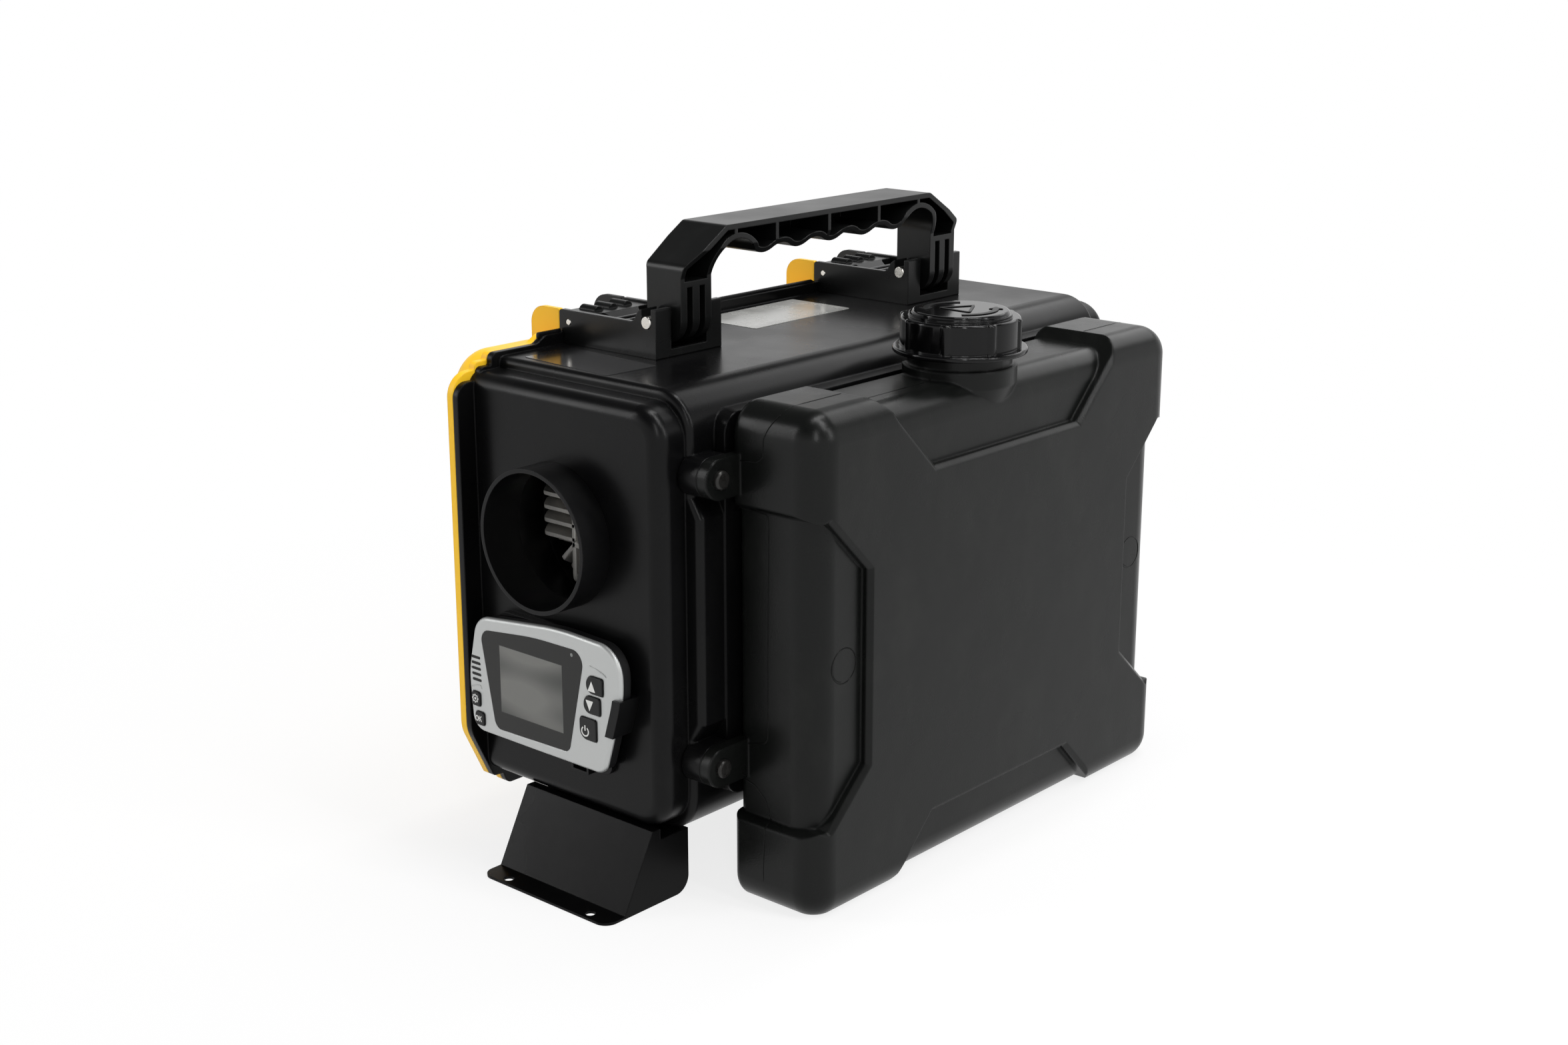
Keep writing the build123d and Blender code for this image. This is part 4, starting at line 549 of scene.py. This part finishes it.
for number, ends in enumerate(OK_BARS):
    bar = smooth_path(ends, 8, 0) * MM
    printed(f"symbol_ok_bar_{number}", line(bar, FINE_LINE, OK_BARS_AT), "key_ok")

# Small lamp window on the keypad's glass, and the raised lines beside its keys.
BEZEL_FRONT = -0.2293
lamp_window = raised_plate(
    bow((0, 0), 0.0011, 0, 360, 33)[:-1], 0.00012, 0.00004, (-0.0080, BEZEL_FRONT, 0.1436), RIGHT, UP
)
add_piece("status_lamp", lamp_window, "heater", "lcd_grey")
for label, corners in (
    ("upper", [(6.2, 140.4), (12.0, 139.6), (17.2, 138.1), (19.8, 136.6)]),
    ("lower", [(-95.4, 103.7), (-91.0, 105.4), (-87.2, 106.0), (-86.2, 103.9)]),
):
    flat = smooth_path(corners, 40)
    path = np.stack([flat[:, 0], np.full(40, BEZEL_FRONT / MM), flat[:, 1]], axis=1) * MM
    bead = carry(path, (0, -1, 0), 0.0005, 0.0006)
    add_piece(f"bezel_line_{label}", bead, "heater", "bezel_silver")

# Painted shade in the five slots beside the keypad's glass: dark strips set on the bezel's face.
SLOT_HEIGHTS = (123.0, 119.4, 116.0, 112.5, 109.0)
SLOT_LEAN = 0.00012                 # each strip lies this much further along than the one above
for row, height in enumerate(SLOT_HEIGHTS):
    strip = raised_plate(
        rounded(0.0078, 0.0017, 0.0008, 0.0, 5), 0.00008, 0.00003,
        (-0.0905 + SLOT_LEAN * row, BEZEL_FRONT, height * MM), RIGHT, UP,
    )
    add_piece(f"bezel_slot_painted_shade_{row}", strip, "heater", "box_plastic")

# Black lip on the case's rim above the lid, between and beside the latches.
RIM_X, RIM_Z = -100.7, 303.4
for number, (start, end) in enumerate(((-164.0, -145.0), (-88.5, 88.5), (145.0, 164.0))):
    lip = smooth_path([(RIM_X, start, RIM_Z), (RIM_X, end, RIM_Z)], 40, 0) * MM
    bead = carry(lip, UP, 0.0012, 0.0024, 0.0, 12)
    add_piece(f"rim_lip_{number}", bead, "heater", "case_black")

# Nose of the heat exchanger's casting, which stands into the outlet: walls and fins round a square
# core, each a flat plate that runs out from the heater's axis and is cut back at its front.
NOSE_AXIS = np.array((-0.0307, 0.0, 0.2066))
NOSE_FRONT, NOSE_SLOPE, NOSE_BACK = -0.1900, -0.1780, -0.1712
FIN = 0.0026


def nose_plate(angle, offset, start, front_end, back_end):
    """One plate: runs along `angle` degrees from `start` out to its ends, beside the axis by `offset`."""
    along = np.array((cos(radians(angle)), 0.0, sin(radians(angle))))
    middle = (start + front_end) / 2
    depth = (NOSE_FRONT + NOSE_BACK) / 2
    corners = np.array([
        (start, NOSE_FRONT), (front_end, NOSE_FRONT), (back_end, NOSE_SLOPE), (back_end, NOSE_BACK),
        (start, NOSE_BACK), (start, NOSE_FRONT),
    ])
    outline = smooth_path(corners, 81, 2)[:-1] - (middle, depth)
    sideways = np.cross(along, AWAY)
    place = NOSE_AXIS + along * middle + np.array((0, depth, 0)) + sideways * (offset - FIN / 2)
    return raised_plate(outline, FIN, FIN * 0.3, place, along, AWAY)


# Each row: directions in degrees, offsets beside the axis, start, end at the front, end at the back.
NOSE_PLATES = (
    ((0, 180), (-0.0122, -0.0040, 0.0040, 0.0122), 0.0135, 0.0400, 0.0500),
    ((90, 270), (-0.0150, 0.0150), -0.0020, 0.0365, 0.0440),
    ((90, 270), (-0.0050, 0.0050), 0.0135, 0.0380, 0.0480),
    ((45, 135, 225, 315), (0.0,), 0.0180, 0.0355, 0.0440),
    ((0,), (-0.0150, 0.0150), -0.0150, 0.0150, 0.0150),
)
plates = [
    nose_plate(angle, offset, *reach)
    for angles, offsets, *reach in NOSE_PLATES for angle in angles for offset in offsets
]
add_piece("exchanger_nose", np.stack(plates), "heater", "cast_alloy")

# Raised turning marks on the cap: two bent arrows and a triangle outline.
CAP = (0.0900, -0.0034, 0.3210)
CAP_RISE = 0.0005
ARROW_RADIUS, ARROW_SWEEP = 0.0205, 88
TRIANGLE_REACH = 0.0125


def cap_mark(name, rings, closed=True):
    """A raised mark that turns with the cap."""
    add_piece(name, rings, "cap", "cap_relief", closed)


for number, start in enumerate((-52.0, 128.0)):
    arc = bow((0, 0), ARROW_RADIUS, start, start + ARROW_SWEEP)
    cap_mark(f"cap_arrow_{number}", stroke(arc, 0.0017, CAP_RISE, CAP, RIGHT, AWAY))
    tip = bow((0, 0), ARROW_RADIUS, start + ARROW_SWEEP, start + ARROW_SWEEP + 1, 2)[0]
    ahead = np.array((-tip[1], tip[0])) / np.linalg.norm(tip)
    outward = tip / np.linalg.norm(tip)
    head = np.stack([ahead * 0.0062, outward * 0.0042, -outward * 0.0042])
    head = smooth_path(np.concatenate([head, head[:1]]), 46, 0)[:-1]
    place = np.array(CAP) + np.array((tip[0], tip[1], 0))
    cap_mark(f"cap_arrow_head_{number}", raised_plate(head, CAP_RISE, 0.0001, place, RIGHT, AWAY))
points = np.radians((90, 210, 330, 90))
triangle = np.stack([np.cos(points), np.sin(points)], axis=1) * TRIANGLE_REACH
triangle = smooth_path(triangle, 61, 2)[:-1]
cap_mark("cap_triangle", stroke(triangle, 0.0008, CAP_RISE, CAP, RIGHT, AWAY, True), False)


# ------------------------------------------------------------------ studio

def seen_rays(tree):
    """1 for camera, glossy and transmission rays, else 0."""
    rays = tree.nodes.new("ShaderNodeLightPath")
    total = rays.outputs["Is Camera Ray"]
    for name in ("Is Glossy Ray", "Is Transmission Ray"):
        total = maths(tree, "MAXIMUM", total, rays.outputs[name])
    return total


def mix_where_seen(tree, plain, seen):
    """Mixes two closures: `seen` for camera, glossy and transmission rays, else `plain`."""
    mix = tree.nodes.new("ShaderNodeMixShader")
    tree.links.new(seen_rays(tree), mix.inputs["Fac"])
    tree.links.new(plain, mix.inputs[1])
    tree.links.new(seen, mix.inputs[2])
    return mix.outputs["Shader"]


FLOOR_RADIUS, FLOOR_POINTS, FLOOR_Z = 16, 96, -0.0002
FADE_FROM, FADE_TO = 0.25, 0.75     # reach over which the floor turns plain white
HORIZON, HIGH = 0.28, 0.62          # heights of direction over which the seen room dims


def make_floor():
    """White floor disc: a fan of points on a circle round the origin, wider than the view.

    Its own colour shows near the heater, so the shadow does too, and further out it is plain white.
    """
    turn = np.linspace(0, 2 * np.pi, FLOOR_POINTS, endpoint=False)
    rim = np.stack([
        FLOOR_RADIUS * np.cos(turn), FLOOR_RADIUS * np.sin(turn), np.full(FLOOR_POINTS, FLOOR_Z)
    ], axis=1)
    mesh = bpy.data.meshes.new("floor")
    mesh.from_pydata(rim.tolist(), [], [tuple(range(FLOOR_POINTS))])
    floor = bpy.data.objects.new("floor", mesh)
    bpy.context.scene.collection.objects.link(floor)
    paint = bpy.data.materials.new("floor_white")
    paint.use_nodes = True
    tree = paint.node_tree
    tree.nodes.clear()
    out = tree.nodes.new("ShaderNodeOutputMaterial")
    matt = tree.nodes.new("ShaderNodeBsdfDiffuse")
    matt.inputs["Color"].default_value = (0.8, 0.8, 0.8, 1)
    glow = tree.nodes.new("ShaderNodeEmission")
    glow.inputs["Strength"].default_value = 1.0
    pale = tree.nodes.new("ShaderNodeMixShader")
    place = tree.nodes.new("ShaderNodeTexCoord")
    reach = tree.nodes.new("ShaderNodeVectorMath")
    reach.operation = "LENGTH"
    tree.links.new(place.outputs["Object"], reach.inputs[0])
    share = span(tree, reach.outputs["Value"], FADE_FROM, FADE_TO, 0.80, 1.0)
    tree.links.new(share, pale.inputs["Fac"])
    tree.links.new(matt.outputs["BSDF"], pale.inputs[1])
    tree.links.new(glow.outputs["Emission"], pale.inputs[2])
    shown = mix_where_seen(tree, matt.outputs["BSDF"], pale.outputs["Shader"])
    tree.links.new(shown, out.inputs["Surface"])
    mesh.materials.append(paint)


def make_world():
    """Soft room light. Where it is seen it is white at the horizon and dims towards the ceiling."""
    world = bpy.data.worlds.new("studio")
    bpy.context.scene.world = world
    world.use_nodes = True
    tree = world.node_tree
    tree.nodes.clear()
    out = tree.nodes.new("ShaderNodeOutputWorld")
    dim = tree.nodes.new("ShaderNodeBackground")
    dim.inputs["Color"].default_value = (1, 1, 1, 1)
    dim.inputs["Strength"].default_value = 0.42
    room = tree.nodes.new("ShaderNodeBackground")
    room.inputs["Color"].default_value = (1, 1, 1, 1)
    where = tree.nodes.new("ShaderNodeTexCoord")
    split = tree.nodes.new("ShaderNodeSeparateXYZ")
    tree.links.new(where.outputs["Generated"], split.inputs["Vector"])
    level = span(tree, split.outputs["Z"], HORIZON, HIGH, 1.0, 0.08)
    tree.links.new(level, room.inputs["Strength"])
    shown = mix_where_seen(tree, dim.outputs["Background"], room.outputs["Background"])
    tree.links.new(shown, out.inputs["Surface"])


def softbox(name, place, target, wide, high, watts):
    """Rectangular lamp at `place` that faces `target`."""
    lamp = bpy.data.lights.new(name, "AREA")
    lamp.shape = "RECTANGLE"
    lamp.size = wide
    lamp.size_y = high
    lamp.energy = watts
    obj = bpy.data.objects.new(name, lamp)
    obj.location = place
    obj.rotation_euler = (Vector(target) - Vector(place)).to_track_quat("-Z", "Y").to_euler()
    bpy.context.scene.collection.objects.link(obj)


SENSOR_WIDTH = 36.0                 # mm
FOCAL_PIXELS, PHOTO_WIDTH = 3256.5, 2352


def make_camera():
    """Camera at the photograph's place, found from the straight edges of the case and tank."""
    lens = bpy.data.cameras.new("camera")
    lens.sensor_width = SENSOR_WIDTH
    lens.lens = SENSOR_WIDTH * FOCAL_PIXELS / PHOTO_WIDTH
    lens.clip_start = 0.05
    camera = bpy.data.objects.new("camera", lens)
    camera.location = (0.8412, -1.0146, 0.5522)
    yaw, pitch = radians(41.32), radians(16.06)
    look = Vector((-sin(yaw) * cos(pitch), cos(yaw) * cos(pitch), -sin(pitch)))
    camera.rotation_euler = look.to_track_quat("-Z", "Y").to_euler()
    bpy.context.scene.collection.objects.link(camera)
    bpy.context.scene.camera = camera


make_floor()
make_world()
make_camera()
MIDDLE = (0.0, 0.0, 0.2)
for number, along in enumerate((-0.55, 0.05, 0.65)):
    softbox(f"ceiling_strip_{number}", (0.55 + along, 0.15 - along * 0.3, 2.1), MIDDLE, 0.16, 1.3, 11)
softbox("side_left", (-1.7, -1.7, 1.2), MIDDLE, 0.30, 1.5, 11)
softbox("side_right", (2.2, 0.5, 1.5), MIDDLE, 0.35, 1.5, 14)
softbox("front_right", (1.7, -1.6, 1.7), MIDDLE, 0.25, 1.4, 12)
softbox("back_soft", (0.1, 2.2, 1.9), MIDDLE, 2.0, 1.1, 16)
bpy.context.scene.view_settings.view_transform = "Standard"
